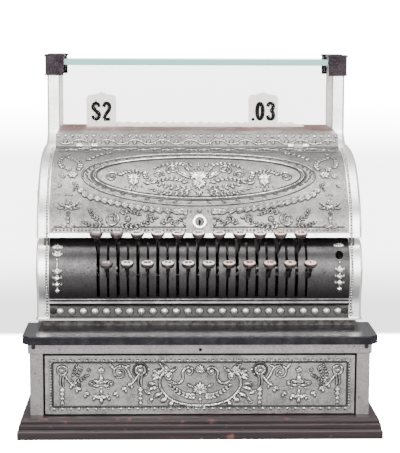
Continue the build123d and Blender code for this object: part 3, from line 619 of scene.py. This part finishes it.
def lid_work():
    o = Ornament()
    # inside the oval, right half
    o.scroll(107, 82, 7.5, 150, 1.4, 1.2, -1)
    o.spray([(100, 84), (92, 90), (80, 92), (68, 88)], 6, 1.1)
    o.fan(80, 80, 90, 170, 7, 12, 1.5)
    o.fan(80, 76, -90, 150, 7, 10, 1.3)
    o.flower(80, 78, 4.5, 8)
    for i in range(5):
        o.bead(70 + 5 * i, 66.5 - 0.5 * (2 - abs(i - 2)), 1.1)
    o.fan(80, 64, -90, 100, 5, 5.5, 0.9)
    o.scroll(32, 95, 8, -60, 1.5, 1.4, 1)
    o.scroll(50, 86, 6.5, 200, 1.3, 1.2, -1)
    o.spray([(8, 62), (24, 64), (42, 68), (60, 76), (66, 84)], 7.5, 1.4)
    o.spray([(12, 72), (26, 78), (40, 78), (52, 74)], 6.5, 1.2)
    o.spray([(14, 104), (26, 106), (40, 104), (52, 98)], 5.5, 1.1)
    o.spray([(10, 58), (26, 56), (44, 58), (58, 62)], 6, 1.2)
    o.leaf(14, 84, 25, 13, 1.9, 2)
    o.leaf(12, 92, 55, 12, 1.7, 2)
    o.leaf(8, 100, 70, 9, 1.5, -2)
    o.line((12, 80, 1.2), (20, 84, 1.3), (26, 90, 1.1), (26, 96, 0.8))
    o.leaf(60, 70, 20, 9, 1.4)
    o.leaf(62, 90, -20, 8, 1.2)
    # between the two ovals: a thin twisted line of short leaves
    for i in range(48):
        a = math.radians(7.5 * i + 3.75)
        if math.cos(a) > 0:
            o.leaf(136.3 * math.cos(a), 85 + 40.5 * math.sin(a), math.degrees(a) + 60, 6.5, 0.5)
    # garland under the oval
    garland = [(147, 64), (136, 52.5), (119, 47), (103, 42.5), (86, 39), (70, 36), (53, 33.5), (33, 31.6),
               (24, 31.6)]
    o.swag(garland, 11.5, 1.9, 2)
    o.flower(18.5, 31.6, 5.2, 7)
    o.bead(10.5, 31.6, 1.1)
    # corner branches, flowers and pendant
    o.flower(155, 85, 6.5, 6)
    o.flower(167, 83, 4.2, 6, 20)
    o.flower(160, 95, 4.2, 5, 10)
    o.spray([(150, 92), (146, 102), (150, 112), (160, 118)], 6, 1.1)
    o.spray([(166, 96), (171, 106), (170, 118), (163, 126)], 5.5, 1.0)
    o.spray([(154, 74), (150, 68), (152, 62)], 4.5, 0.9)
    o.spray([(140, 112), (128, 124), (112, 132)], 6, 1.1)
    o.leaf(168, 70, -60, 7, 1.0)
    for x in (-3.6, 0, 3.6):
        o.bead(158.5 + x, 54.5 - abs(x) * 0.25, 1.25)
    o.bead(158.5, 43.5, 4.6)
    o.fan(158.5, 40, -60, 60, 3, 9, 1.2)
    o.fan(158.5, 40, -120, 60, 3, 9, 1.2)
    o.leaf(161, 38, 12, 11, 1.4, 3)
    o.leaf(156, 38, 168, 11, 1.4, -3)
    o.leaf(163, 36, -14, 9, 1.1, 2)
    o.leaf(154, 36, 194, 9, 1.1, -2)
    o.flower(158.5, 29, 3.2, 5, 90)
    o.husks(158.5, 24, 4.6, 3, 3.0)
    o.line((150, 14, 0.8), (154, 11.5, 0.9), (158.5, 13, 1.0), (163, 11.5, 0.9), (167, 14, 0.8))
    # scrolls and foliage above the foot
    o.scroll(106, 21.5, 9, 100, 1.5, 1.4, 1)
    o.spray([(98, 30), (84, 32), (74, 28)], 6, 1.1)
    o.spray([(97, 16), (84, 13), (68, 16), (54, 22)], 7, 1.3)
    o.spray([(116, 20), (126, 24), (132, 32)], 6, 1.1)
    o.spray([(116, 16), (128, 14), (138, 17)], 5.5, 1.0)
    o.scroll(60, 24, 5.2, -90, 1.3, 1.0, -1)
    o.fan(86, 22, 0, 360, 9, 5, 0.9)
    o.spray([(48, 16), (38, 20), (30, 17), (20, 22)], 6, 1.1)
    o.scroll(36, 22, 4, 0, 1.2, 0.9, 1)
    o.leaf(17, 13, 60, 7, 1.0)
    o.leaf(17, 26, 110, 6, 1.0)
    # band under the hinges: a running vine
    for i in range(11):
        x = 8 + 15.2 * i
        up = 1 if i % 2 else -1
        o.line((x - 7.6, 148, 0.8), (x, 148 + 4 * up, 0.9), (x + 7.6, 148, 0.8))
        o.scroll(x, 148 - 1.2 * up, 3.2, -90 * up, 1.1, 0.7, up)
        o.leaf(x + 4, 148 + 3.2 * up, 40 * up, 4.5, 0.8)
        o.leaf(x - 4, 148 + 3.2 * up, 180 - 40 * up, 4.5, 0.8)
    o.bar((0, 139, 0.55), (176, 139, 0.55))
    o.bar((0, 156.5, 0.55), (176, 156.5, 0.55))
    o.beads_along(17, 8.6, 177, 8.6, 4.4, 1.15)
    o.bar((175.6, 12.5, 0.5), (175.6, 156, 0.5))
    o.bar((16, 12, 0.4), (175.6, 12, 0.4))
    o.mirrored()
    # on the middle line
    o.oval(0, 85, 129.3, 36, 1.25, 128)
    o.oval(0, 85, 132.6, 38.4, 0.6, 128)
    o.oval(0, 85, 143, 45.4, 1.0, 128)
    o.oval(0, 85, 125.6, 33.4, 0.4, 128)
    o.fan(0, 82, 90, 190, 11, 17, 1.8)
    o.fan(0, 74, -90, 170, 9, 13, 1.6)
    o.flower(0, 79, 5.5, 8)
    o.fan(0, 60, -90, 110, 5, 8, 1.2)
    o.bead(0, 102, 1.6)
    o.bead(0, 107, 1.2)
    o.bead(0, 32.6, 3.0)
    return o


lid_low, lid_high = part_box("lid")
lid_face = CurvedFace("lid", 0.1, (lid_high.y - 0.004, lid_low.z + 0.0005), 0.0, 91.0, 5.3)
lid_work().lay("lid_ornament", lid_face, "lid", ornament, 1.5, dirt_and_shade=0.75)


# ---------------------------------------------------------------- drawer front

def drawer_work(low, high):
    o = Ornament()
    half = high.x * 1000 - 4.0
    foot = low.z * 1000 + 4.0
    head = high.z * 1000 - 4.0
    # beads inside the rim, then a thin frame
    for i in range(18):
        x = 5 + 9.9 * i
        o.line((x - 1.6, foot + 2.2, 0.9), (x, foot + 2.2, 1.75), (x + 1.6, foot + 2.2, 0.9), per=2)
        o.line((x - 1.6, head - 2.2, 0.9), (x, head - 2.2, 1.6), (x + 1.6, head - 2.2, 0.9), per=2)
        o.bead(x + 4.95, foot + 2.2, 0.8)
        o.bead(x + 4.95, head - 2.2, 0.8)
    o.beads_along(half - 2.4, foot + 6, half - 2.4, head - 6, 3.5, 1.15)
    o.bar((half - 4.8, foot + 4.6, 0.45), (half - 4.8, head - 4.6, 0.45))
    o.bar((0, foot + 4.6, 0.45), (half - 4.8, foot + 4.6, 0.45))
    o.bar((0, head - 4.6, 0.45), (half - 4.8, head - 4.6, 0.45))
    # ribbon rings with crossed tails and hanging husks
    for x in (71, 163.5):
        o.oval(x, 79, 5.4, 5.4, 1.3, 20)
        o.bead(x, 79, 2.1)
        o.line((x - 2, 73.6, 1.0), (x - 0.8, 66, 1.2), (x - 1.5, 59, 0.8))
        o.line((x + 1, 73.6, 1.0), (x + 2.6, 66, 1.1), (x + 1.6, 60, 0.7))
        o.husks(x, 57, 5.4, 4, 3.9)
        o.flower(x, 36.5, 2.3, 5)
    o.oval(71, 79, 8.6, 8.6, 0.5, 28)
    # swags
    swag = [(74, 70), (81, 61), (88, 56), (98, 50), (108, 46.5), (117.3, 45.5)]
    o.line((73, 74, 1.0), (78, 66, 1.3), (84, 60, 1.1))
    o.line((161, 74, 1.0), (156.5, 67, 1.3), (151, 61, 1.1))
    for x, y in swag[1:]:
        for side in (1, -1):
            px = 117.3 + (x - 117.3) * side
            a = -35 if side > 0 else 215
            o.leaf(px, y + 2.2, a, 7.2, 1.7)
            o.leaf(px, y, a - 50 * side, 5.6, 1.2)
            o.leaf(px, y + 1, a + 55 * side, 5.0, 1.2)
            o.bead(px, y - 1.8, 1.2)
    # vase with side scrolls and pendant, between the rings
    o.bead(117.3, 84.6, 1.2)
    o.leaf(117.3, 77.5, 90, 5.6, 1.3)
    o.leaf(117, 78, 150, 4.6, 1.3)
    o.leaf(117.6, 78, 30, 4.6, 1.3)
    o.bar((113.6, 76.6, 0.9), (121, 76.6, 0.9))
    o.line((117.3, 73.5, 1.0), (117.3, 69, 2.9), (117.3, 65, 2.2), (117.3, 61.5, 0.8))
    for side in (1, -1):
        x = 117.3
        o.leaf(x + 1.5 * side, 63, 90 - 50 * side, 8.5, 1.5, -2 * side)
        o.scroll(x + 11.6 * side, 62.5, 3.4, 90 + 100 * side, 1.2, 1.0, -side)
        o.leaf(x + 2 * side, 60.5, 90 - 100 * side, 8.0, 1.5, 2 * side)
        o.bead(x + 8.5 * side, 57, 1.3)
    o.bead(117.3, 58, 1.6)
    o.leaf(117.3, 56, -90, 7.5, 1.5)
    o.bead(117.3, 47.5, 2.1)
    o.leaf(117.3, 45, -90, 8, 1.5)
    o.bead(117.3, 36.2, 1.0)
    # open scroll by the inner ring
    o.scroll(95, 76, 9.5, 150, 1.25, 1.4, -1, 1.4)
    o.line((86.5, 80.5, 1.3), (84, 74, 1.5), (80, 68, 1.2), (77, 66, 0.8))
    o.leaf(102, 80, 40, 9, 1.4, 3)
    o.leaf(88, 83, 160, 6, 1.2)
    o.bead(107, 85.5, 1.3)
    # flower sprigs by the outer ring
    for x, y, r in ((132, 79, 2.8), (144, 82, 3.6), (136.5, 72, 2.0)):
        o.flower(x, y, r, 5, 90)
    o.spray([(151, 66), (146, 72), (141, 80)], 4.2, 0.9)
    o.spray([(151, 66), (150, 76), (147, 84)], 3.8, 0.8)
    o.spray([(151, 64), (142, 67), (134, 72)], 4.2, 0.9)
    # frame of the cartouche
    o.line((33.5, 71.5, 1.0), (37.5, 75.8, 1.5), (43, 75.2, 1.8), (47, 70, 1.8), (48.2, 62.5, 1.7),
           (45, 53, 1.7), (37, 45, 1.7), (25, 39, 1.7), (12, 36.2, 1.7), (0, 35.6, 1.7))
    o.scroll(38, 71.5, 4.6, 130, 1.4, 1.4, 1)
    o.scroll(13.2, 77.5, 5.6, 40, 1.2, 1.3, 1)
    o.line((17.6, 81.2, 1.2), (21, 76, 1.5), (20.4, 69, 1.5), (23.5, 64, 1.5), (29.5, 62.8, 1.4),
           (34.5, 66, 1.2))
    o.leaf(36, 77, 160, 10, 1.8, -3)
    o.leaf(37, 79, 25, 14, 2.4, 3)
    o.leaf(42, 78, 5, 15, 2.2, -2)
    o.leaf(46, 76, -12, 13, 1.9, -3)
    o.leaf(49, 72, -45, 9, 1.6, 3)
    o.bead(61, 80, 1.5)
    o.bead(64, 74, 1.1)
    # lobes under the cartouche
    o.leaf(33, 41, -60, 7.5, 2.4)
    o.leaf(40, 45, -35, 9.0, 2.6)
    o.leaf(46, 51, -20, 11, 2.4, -3)
    o.leaf(50, 58, 0, 12, 2.0, -4)
    o.leaf(57, 46, -70, 7, 1.6)
    o.flower(60, 40.5, 3.2, 6)
    o.leaf(58, 50, 10, 10, 1.6, 4)
    o.leaf(53, 62, 20, 9, 1.4, -2)
    # laurel branch in the middle of the cartouche
    o.spray([(4, 47), (14, 47.5), (25, 52), (34, 59)], 6.4, 1.5)
    o.leaf(8, 58, 20, 9, 1.5, 2)
    o.mirrored()
    o.fan(0, 52, 90, 150, 9, 13.5, 1.9)
    o.bead(0, 51, 2.3)
    o.fan(0, 77, 90, 160, 9, 9.5, 1.4)
    o.bead(0, 77, 1.8)
    o.leaf(0, 46, -90, 7, 1.6)
    return o


front_low, front_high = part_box("drawer_front")
plate_y = touch("drawer_front", (0.01, -1.0, 0.06), (0, 1, 0))[0].y
drawer_face = FlatFace(plate_y)
drawer_work(front_low, front_high).lay("drawer_ornament", drawer_face, "drawer", ornament)


# ---------------------------------------------------------------- key plate, rail and side castings

def key_plate_work():
    o = Ornament()

    def crown(x, y):
        o.fan(x, y, 90, 150, 7, 9.5, 1.3)
        o.scroll(x - 5.2, y + 1.5, 2.2, 0, 1.0, 0.8, -1)
        o.scroll(x + 5.2, y + 1.5, 2.2, 180, 1.0, 0.8, 1)
        o.bead(x, y, 1.5)

    def drop(x, y, count=4):
        o.husks(x, y, 8.4, count, 5.4)
        for i in range(count - 1):
            o.scroll(x + 4.4, y - 2 - 8.4 * i, 1.9, 90, 1.0, 0.75, -1)
            o.scroll(x - 4.4, y - 2 - 8.4 * i, 1.9, 90, 1.0, 0.75, 1)

    crown(-171, 65)
    o.fan(-171, 60, -90, 170, 5, 7.5, 1.2)
    o.leaf(-171, 54, 20, 8, 1.3, 2)
    o.leaf(-171, 54, 160, 8, 1.3, -2)
    o.bead(-171, 49.5, 1.5)
    o.line((-171, 48, 0.8), (-171, 41, 0.9))
    drop(-171, 38)
    crown(168.6, 68)
    drop(168.6, 40)
    o.bead(168.6, 46, 1.5)
    return o


mid = (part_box("key_plate")[0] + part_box("key_plate")[1]) / 2
plate_face = CurvedFace("key_plate", 0.15, (mid.y + 0.04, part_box("key_plate")[0].z + 0.03), -34.0, 84.0)
key_plate_work().lay("key_plate_ornament", plate_face, "cabinet", ornament, 0.8)


def rail_work(half, length):
    o = Ornament()
    top = length - 2.3
    o.beads_along(-half + 3, top, half - 3, top, 9.06, 1.9)
    for i in range(20):
        x = -half + 13 + (2 * half - 26) * i / 19
        up = 1 if i % 2 else -1
        centre = length * 0.45
        o.line((x - 9, centre, 0.7), (x - 4.5, centre + 2.4 * up, 0.9), (x, centre + 3 * up, 0.9),
               (x + 5, centre + 2 * up, 0.9), (x + 9, centre, 0.7))
        o.scroll(x, centre - 0.6 * up, 2.6, 90 * up, 1.1, 0.8, up)
        o.fan(x + 8, centre, 90 * up, 120, 3, 4.0, 0.8)
    o.bar((-half, 1.2, 0.5), (half, 1.2, 0.5))
    return o


rail_low, rail_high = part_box("hinge_rail")
rail_face = CurvedFace("hinge_rail", 0.0, (rail_high.y + 0.3, rail_low.z - 0.14), 24.0, 33.0, 0.0, 240)
rail_half = rail_high.x * 1000
rail_work(rail_half, rail_face.v[-1] * 1000).lay("hinge_rail_ornament", rail_face, "cabinet", bead_nickel, 0.8)


def bead_column(name, x, face, start, stop):
    """A line of beads between two fine lines, from start to stop along a face."""
    o = Ornament()
    o.beads_along(x, start, x, stop, 3.6, 1.45)
    side = 1 if x > 0 else -1
    o.bar((x - side * 1.9, start, 0.35), (x - side * 1.9, stop, 0.35))
    o.bar((x + side * 2.3, start, 0.45), (x + side * 2.3, stop, 0.45))
    o.lay(name, face, "cabinet", bead_nickel, 0.7, "bright_nickel")


for label, side in (("left", -1), ("right", 1)):
    node = "upper_" + label + "_side"
    edge = rail_half + 2.6
    brow = CurvedFace(node, side * edge * MM, (lid_high.y - 0.004, lid_low.z + 0.0005), 0.0, 91.0, 0.0)
    bead_column("side_beads_" + label, side * edge, brow, 3, brow.v[-1] * 1000 - 3)
    foot = CurvedFace(node, side * edge * MM, (mid.y + 0.04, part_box("key_plate")[0].z + 0.03), -46.0, 50.0, 0.0)
    bead_column("foot_beads_" + label, side * edge, foot, 2, foot.v[-1] * 1000 - 2)


def moulding_work(half):
    """A thin collar round every stud, and a thin line above them."""
    o = Ornament()
    low, high = (1000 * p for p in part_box("moulding_studs"))
    middle = (low.z + high.z) / 2
    count = 25
    for i in range(count):
        x = low.x + 4 + (high.x - low.x - 8) * i / (count - 1)
        o.oval(x, middle, 4.9, 4.9, 0.3, 20)
    o.bar((-half + 9, middle + 6.1, 0.3), (half - 9, middle + 6.1, 0.3))
    return o


stud_low, stud_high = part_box("moulding_studs")
panel_y = touch("stud_moulding", (0.007, -1.0, (stud_low.z + stud_high.z) / 2), (0, 1, 0))[0].y
moulding_work(rail_half).lay("stud_collars", FlatFace(panel_y), "cabinet", bead_nickel, 0.8, dirt_and_shade=0.7)


# ---------------------------------------------------------------- sides and back

def panel_work(x0, x1, z0, z1):
    """A framed panel: double line, corner scrolls and a middle spray."""
    o = Ornament()
    x, z = (x0 + x1) / 2, (z0 + z1) / 2
    a, b = (x1 - x0) / 2, (z1 - z0) / 2
    for inset, r in ((0, 1.2), (4.5, 0.6)):
        o.strokes.append((np.array([(-a + inset, -b + inset, r), (a - inset, -b + inset, r),
                                    (a - inset, b - inset, r), (-a + inset, b - inset, r)]), True))
    o.scroll(a - 17, b - 16, 7, 0, 1.3, 1.3, 1)
    o.spray([(a - 24, b - 14), (a - 38, b - 11), (a - 54, b - 13)], 7, 1.3)
    o.scroll(a - 17, 16 - b, 7, 0, 1.3, 1.3, -1)
    o.spray([(a - 24, 14 - b), (a - 38, 11 - b), (a - 54, 13 - b)], 7, 1.3)
    o.spray([(12, -2), (26, 2), (42, -2), (58, 3)], 9, 1.7)
    o.scroll(24, 12, 6, 200, 1.3, 1.2, -1)
    o.scroll(24, -12, 6, 160, 1.3, 1.2, 1)
    o.leaf(6, 6, 40, 14, 2.0, 3)
    o.leaf(6, -6, -40, 14, 2.0, -3)
    o.mirrored()
    o.fan(0, 2, 90, 150, 9, 17, 2.2)
    o.fan(0, -2, -90, 150, 9, 17, 2.2)
    o.flower(0, 0, 6, 8)
    o.strokes = [(p + (x, z, 0), closed) for p, closed in o.strokes]
    return o


def dress_sides():
    for label, side in (("left", -1), ("right", 1)):
        low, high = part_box("case_" + label + "_wall")
        face = SideFace("case_" + label + "_wall", side, (low.y + high.y) / 2, (low.z + high.z) / 2)
        ends = sorted((side * (low.y * 1000 + 22), side * (high.y * 1000 - 22)))
        work = panel_work(*ends, low.z * 1000 + 12, high.z * 1000 - 12)
        work.lay("case_" + label + "_ornament", face, "cabinet", ornament)
        node = "upper_" + label + "_side"
        low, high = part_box(node)
        foot = low.z * 1000
        face = SideFace(node, side, (low.y + high.y) / 2, low.z + 0.08)
        ends = sorted((side * (low.y * 1000 + 52), side * (high.y * 1000 - 26)))
        work = panel_work(*ends, foot + 18, foot + 150)
        work.lay(node + "_ornament", face, "cabinet", ornament)


def dress_back():
    low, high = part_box("case_back_wall")
    face = BackFace("case_back_wall", 0.05, (low.z + high.z) / 2)
    work = panel_work(low.x * 1000 + 14, high.x * 1000 - 14, low.z * 1000 + 12, high.z * 1000 - 12)
    work.lay("case_back_ornament", face, "cabinet", ornament)
    low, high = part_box("upper_back_cover")
    foot = low.z * 1000
    door = BackFace("upper_back_cover", 0.02, low.z + 0.06)
    panel_work(-88, 88, foot + 28, foot + 106).lay("back_door_ornament", door, "cabinet", ornament)
    cover = BackFace("upper_back_cover", 0.12, low.z + 0.06)
    o = Ornament()
    for inset, r in ((0, 1.2), (4.5, 0.6)):
        a, z0, z1 = high.x * 1000 - 8 - inset, foot + 9 + inset, foot + 144 - inset
        o.strokes.append((np.array([(-a, z0, r), (a, z0, r), (a, z1, r), (-a, z1, r)]), True))
    for side in (1, -1):
        middle = (side * (high.x * 1000 + 95) / 2, foot + 76)
        o.flower(*middle, 7, 8)
        o.fan(middle[0], middle[1] + 8, 90, 120, 7, 20, 2.4)
        o.fan(middle[0], middle[1] - 8, -90, 120, 7, 20, 2.4)
    o.lay("back_cover_ornament", cover, "cabinet", ornament)


dress_sides()
dress_back()


# ---------------------------------------------------------------- keys

white_insert = celluloid("white_key_insert", (0.98, 0.97, 0.94), (0.86, 0.84, 0.79))
pink_insert = celluloid("pink_key_insert", (0.92, 0.66, 0.60), (0.74, 0.49, 0.44))
dark_insert = celluloid("dark_key_insert", (0.13, 0.10, 0.11), (0.06, 0.045, 0.05))
# black for the printed figures, also used for the keyway's painted shadow
black_print_and_shade = celluloid("black_figures_and_keyway_shade", (0.006, 0.006, 0.006), (0.012, 0.011, 0.011), 0.8, 0.0)
pale_ink = celluloid("pale_figures", (0.75, 0.73, 0.70), (0.6, 0.57, 0.53), 0.4)
amounts = {"upper": ["$2", "90", "80", "70", "60", "50", "40", "30", "25", "20", "15"],
           "lower": ["$1", "95", "85", "75", "65", "55", "45", "35", "10", "5", "1"]}


def key_look(row, i):
    dark = 2 if row == "upper" else 1
    white = 8 if row == "upper" else 6
    if i <= dark:
        return dark_insert, pale_ink
    if i <= white:
        return white_insert, black_print_and_shade
    return (pink_insert if (row == "lower" and i < 11) or i > 9 else white_insert), black_print_and_shade


def make_key_faces():
    for row, texts in amounts.items():
        for i, text in enumerate(texts, 1):
            node = "key_" + row + "_" + str(i)
            low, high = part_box(node)
            found = touch(node, ((low.x + high.x) / 2, low.y + 0.0078, high.z + 0.05), (0, 0, -1))
            tilt = Matrix.Rotation(math.atan2(-found[1].y, found[1].z), 4, "X")
            place = Matrix.Translation(found[0]) @ tilt
            insert, ink = key_look(row, i)
            bpy.ops.object.select_all(action="DESELECT")
            bpy.ops.mesh.primitive_cylinder_add(vertices=36, radius=6.75 * MM, depth=0.7 * MM)
            disc = added("insert_" + row + "_" + str(i))
            only(disc)
            rim = disc.modifiers.new("rim", "BEVEL")
            rim.width = 0.3 * MM
            rim.segments = 2
            bpy.ops.object.modifier_apply(modifier="rim")
            disc.data.transform(place)
            settle(disc, node, insert)
            lettering("figure_" + row + "_" + str(i), text, 5.6, place @ Matrix.Translation((0, 0, 0.4 * MM)),
                      node, ink, 0.16, 0.3, 1.1)


make_key_faces()


def make_keyway():
    """A flat black disc on the lock plug: painted shadow standing in for the dark inside of the keyhole."""
    ring_low, ring_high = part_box("lock_ring")
    middle = (ring_low + ring_high) / 2
    found = touch("lock_plug", (middle.x + 0.003, middle.y - 0.05, middle.z), (0, 1, 0))
    turn = Vector((0, 0, 1)).rotation_difference(found[1]).to_matrix().to_4x4()
    place = Matrix.Translation((middle.x, found[0].y, found[0].z)) @ turn
    bpy.ops.object.select_all(action="DESELECT")
    bpy.ops.mesh.primitive_cylinder_add(vertices=28, radius=1.5 * MM, depth=0.3 * MM)
    hole = added("painted_keyway_shadow")
    hole.data.transform(Matrix.Diagonal((1.0, 2.3, 1, 1)))
    only(hole)
    edge = hole.modifiers.new("edge", "BEVEL")
    edge.width = 0.1 * MM
    edge.segments = 2
    bpy.ops.object.modifier_apply(modifier="edge")
    hole.data.transform(place)
    # the black disc is painted shade, not print
    settle(hole, "lock_plug", black_print_and_shade)


make_keyway()


# ---------------------------------------------------------------- flags

FIGURE_STROKES = {
    "2": [[(-3.4, 17, 2.3), (-2.4, 20.6, 2.3), (0, 21.6, 2.2), (2.6, 20.4, 2.3), (3.5, 17, 2.5),
           (2.2, 12.6, 2.4), (-1.0, 8, 2.2), (-3.4, 2.6, 2.0)]],
    "3": [[(-3.4, 17.6, 2.2), (-2.4, 20.8, 2.2), (0, 21.7, 2.1), (2.6, 20.6, 2.2), (3.2, 17.4, 2.5),
           (2.2, 14, 2.1), (-0.6, 12.6, 1.8)],
          [(-0.6, 12.4, 1.8), (2.6, 11, 2.1), (3.6, 7.2, 2.5), (2.8, 3.4, 2.3), (0, 2.2, 2.1),
           (-2.6, 3.2, 2.2), (-3.6, 6.8, 2.2)]],
    "$": [[(3.9, 17, 1.9), (2.8, 20.4, 1.9), (0, 21.7, 1.9), (-2.8, 20.4, 2.1), (-3.6, 17, 2.4),
           (-2.2, 13.9, 2.3), (0.3, 12, 2.3), (2.9, 9.8, 2.4), (3.8, 6.6, 2.4), (2.6, 3.2, 2.1),
           (0, 2.2, 1.9), (-2.8, 3.2, 1.9), (-4.1, 6.6, 1.9)]],
}


def figure(o, letter, x):
    """One figure 24 mm high, in broad strokes on the middle line x."""
    for stroke in FIGURE_STROKES.get(letter, []):
        o.line(*[(x + across, up, r) for across, up, r in stroke])
    if letter == "2":
        o.bar((x - 3.4, 2.0, 2.0), (x + 4.2, 2.0, 2.0))
    elif letter == "$":
        o.bar((x, -2.0, 0.6), (x, 26.0, 0.6))
    elif letter == "0":
        ring = [math.radians(18 * i) for i in range(20)]
        o.line(*[(x + 3.5 * math.cos(a), 12 + 9.7 * math.sin(a), 2.1 + 0.5 * abs(math.cos(a))) for a in ring],
               closed=True, per=2)
    elif letter == ".":
        o.bead(x, 1.9, 2.1)


def flag_figures(node, body, letters, scale=1.1):
    low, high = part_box(node)
    front = touch(node, ((low.x + high.x) / 2, -1.0, high.z - 0.022), (0, 1, 0))[0].y
    o = Ornament()
    for letter, x in letters:
        figure(o, letter, x)
    middle = (low.x + high.x) * 500
    foot = high.z * 1000 - 39.5
    o.strokes = [(np.column_stack([middle + p[:, 0] * scale, foot + p[:, 1] * scale, p[:, 2] * scale]), closed)
                 for p, closed in o.strokes]
    settle(o.strip(node + "_figures", FlatFace(front - 0.00012), 0.10), body, black_print_and_shade)


flag_figures("flag_raised_left", "flag_left", [("$", -6.6), ("2", 6.4)])
flag_figures("flag_raised_right", "flag_right", [(".", -12.5), ("0", -4.0), ("3", 9.0)])


# ---------------------------------------------------------------- stage, light and camera

FLOOR_BACK = 0.34
SWEEP = 0.015
SEEN_GLOW = 30.0
HIDDEN_GLOW = 0.16
CAMERA_PLACE = (-0.0459, -1.8167, 0.4803)
CAMERA_TURN = -1.573
CAMERA_DIP = 7.984
CAMERA_ROLL = 0.218


def studio_paper():
    """Paper that glows to the camera and in reflections. The wall grows lighter with height and is
    dimmer through the panes. From behind, the paper is clear."""
    f = Finish("studio_paper")
    up = f.step(f.axis("Z"), 0.0, 0.012)
    rise = f.step(f.axis("Z"), 0.05, 0.15)
    high = f.step(f.axis("Z"), 0.27, 0.41)
    wall = f.mix(high, f.mix(rise, (0.072, 0.070, 0.073), (0.17, 0.17, 0.175)), (0.6, 0.6, 0.6))
    top = f.step(f.axis("Z"), 0.40, 0.52)
    wall = f.mix(top, wall, (1.0, 1.0, 1.0))
    panes = f.step(f.node("LightPath", out=12), 0.5, 1.5)
    wall = f.mix(panes, wall, (0.15, 0.152, 0.15))
    tone = f.mix(up, (1.0, 1.0, 1.0), wall)
    seen = f.node("LightPath").work("MAXIMUM", f.node("LightPath", out=6))
    glow = f.node("Emission", None, {"Color": tone, "Strength": seen * SEEN_GLOW + (1 - seen) * HIDDEN_GLOW})
    paper = f.node("BsdfDiffuse", None, {"Color": (0.3, 0.3, 0.3, 1.0)})
    lit = f.node("AddShader", None, {0: glow, 1: paper})
    behind = f.node("NewGeometry", out=6)
    clear = f.node("BsdfTransparent")
    f.node_output(f.node("MixShader", None, {0: behind, 1: lit, 2: clear}))
    return f.material


def make_stage():
    """A pale floor that turns up into a wall."""
    bpy.ops.object.select_all(action="DESELECT")
    bpy.ops.mesh.primitive_plane_add(size=1.0, location=(0, 0, 0))
    floor = added("studio_floor")
    floor.data.transform(Matrix.Translation((0, FLOOR_BACK - 3.0, 0)) @ Matrix.Diagonal((12, 6.0, 1, 1)))
    edit(floor)
    bpy.ops.mesh.select_mode(type="EDGE")
    bpy.ops.mesh.select_all(action="DESELECT")
    bpy.ops.object.mode_set(mode="OBJECT")
    for e in floor.data.edges:
        e.select = all(floor.data.vertices[v].co.y > 0 for v in e.vertices)
    bpy.ops.object.mode_set(mode="EDIT")
    bpy.ops.mesh.extrude_region_move(TRANSFORM_OT_translate={"value": (0, 0, 4.0)})
    bpy.ops.object.mode_set(mode="OBJECT")
    for e in floor.data.edges:
        ends = [floor.data.vertices[v].co for v in e.vertices]
        e.select = all(end.y > 0 and end.z < 0.01 for end in ends)
    bpy.ops.object.mode_set(mode="EDIT")
    bpy.ops.mesh.bevel(offset=SWEEP, segments=6, affect="EDGES")
    bpy.ops.object.mode_set(mode="OBJECT")
    bpy.ops.object.shade_smooth()
    floor.data.materials.append(studio_paper())


def make_light(name, place, target, size, power):
    data = bpy.data.lights.new(name, "AREA")
    data.shape = "RECTANGLE"
    data.size, data.size_y = size
    data.energy = power
    lamp = bpy.data.objects.new(name, data)
    bpy.context.scene.collection.objects.link(lamp)
    lamp.location = place
    lamp.rotation_mode = "QUATERNION"
    lamp.rotation_quaternion = (Vector(target) - Vector(place)).to_track_quat("-Z", "Y")


def make_world():
    world = bpy.data.worlds.new("studio")
    bpy.context.scene.world = world
    world.use_nodes = True
    world.node_tree.nodes["Background"].inputs[0].default_value = (0.95, 0.97, 1.0, 1.0)
    world.node_tree.nodes["Background"].inputs[1].default_value = 0.1


def make_camera():
    data = bpy.data.cameras.new("camera")
    camera = bpy.data.objects.new("camera", data)
    bpy.context.scene.collection.objects.link(camera)
    data.sensor_width = 36.0
    data.lens = 112.3
    turn = Matrix.Rotation(math.radians(CAMERA_TURN), 4, "Z")
    turn = turn @ Matrix.Rotation(math.radians(90 - CAMERA_DIP), 4, "X")
    turn = turn @ Matrix.Rotation(math.radians(CAMERA_ROLL), 4, "Z")
    camera.matrix_world = Matrix.Translation(CAMERA_PLACE) @ turn
    bpy.context.scene.camera = camera


make_stage()
make_light("overhead", (0.0, -0.3, 2.0), (0, -0.1, 0.2), (1.8, 0.8), 46)
make_light("front_softbox", (0.0, -2.5, 1.3), (0, 0, 0.25), (2.8, 0.9), 104)
make_light("low_card", (0.0, -2.4, 0.42), (0, 0, 0.2), (2.6, 0.5), 36)
make_light("left_window", (-1.5, -0.7, 0.9), (0, -0.1, 0.25), (0.4, 1.0), 14)
make_light("right_window", (1.6, -0.6, 0.9), (0, -0.1, 0.25), (0.4, 1.0), 12)
make_world()
make_camera()
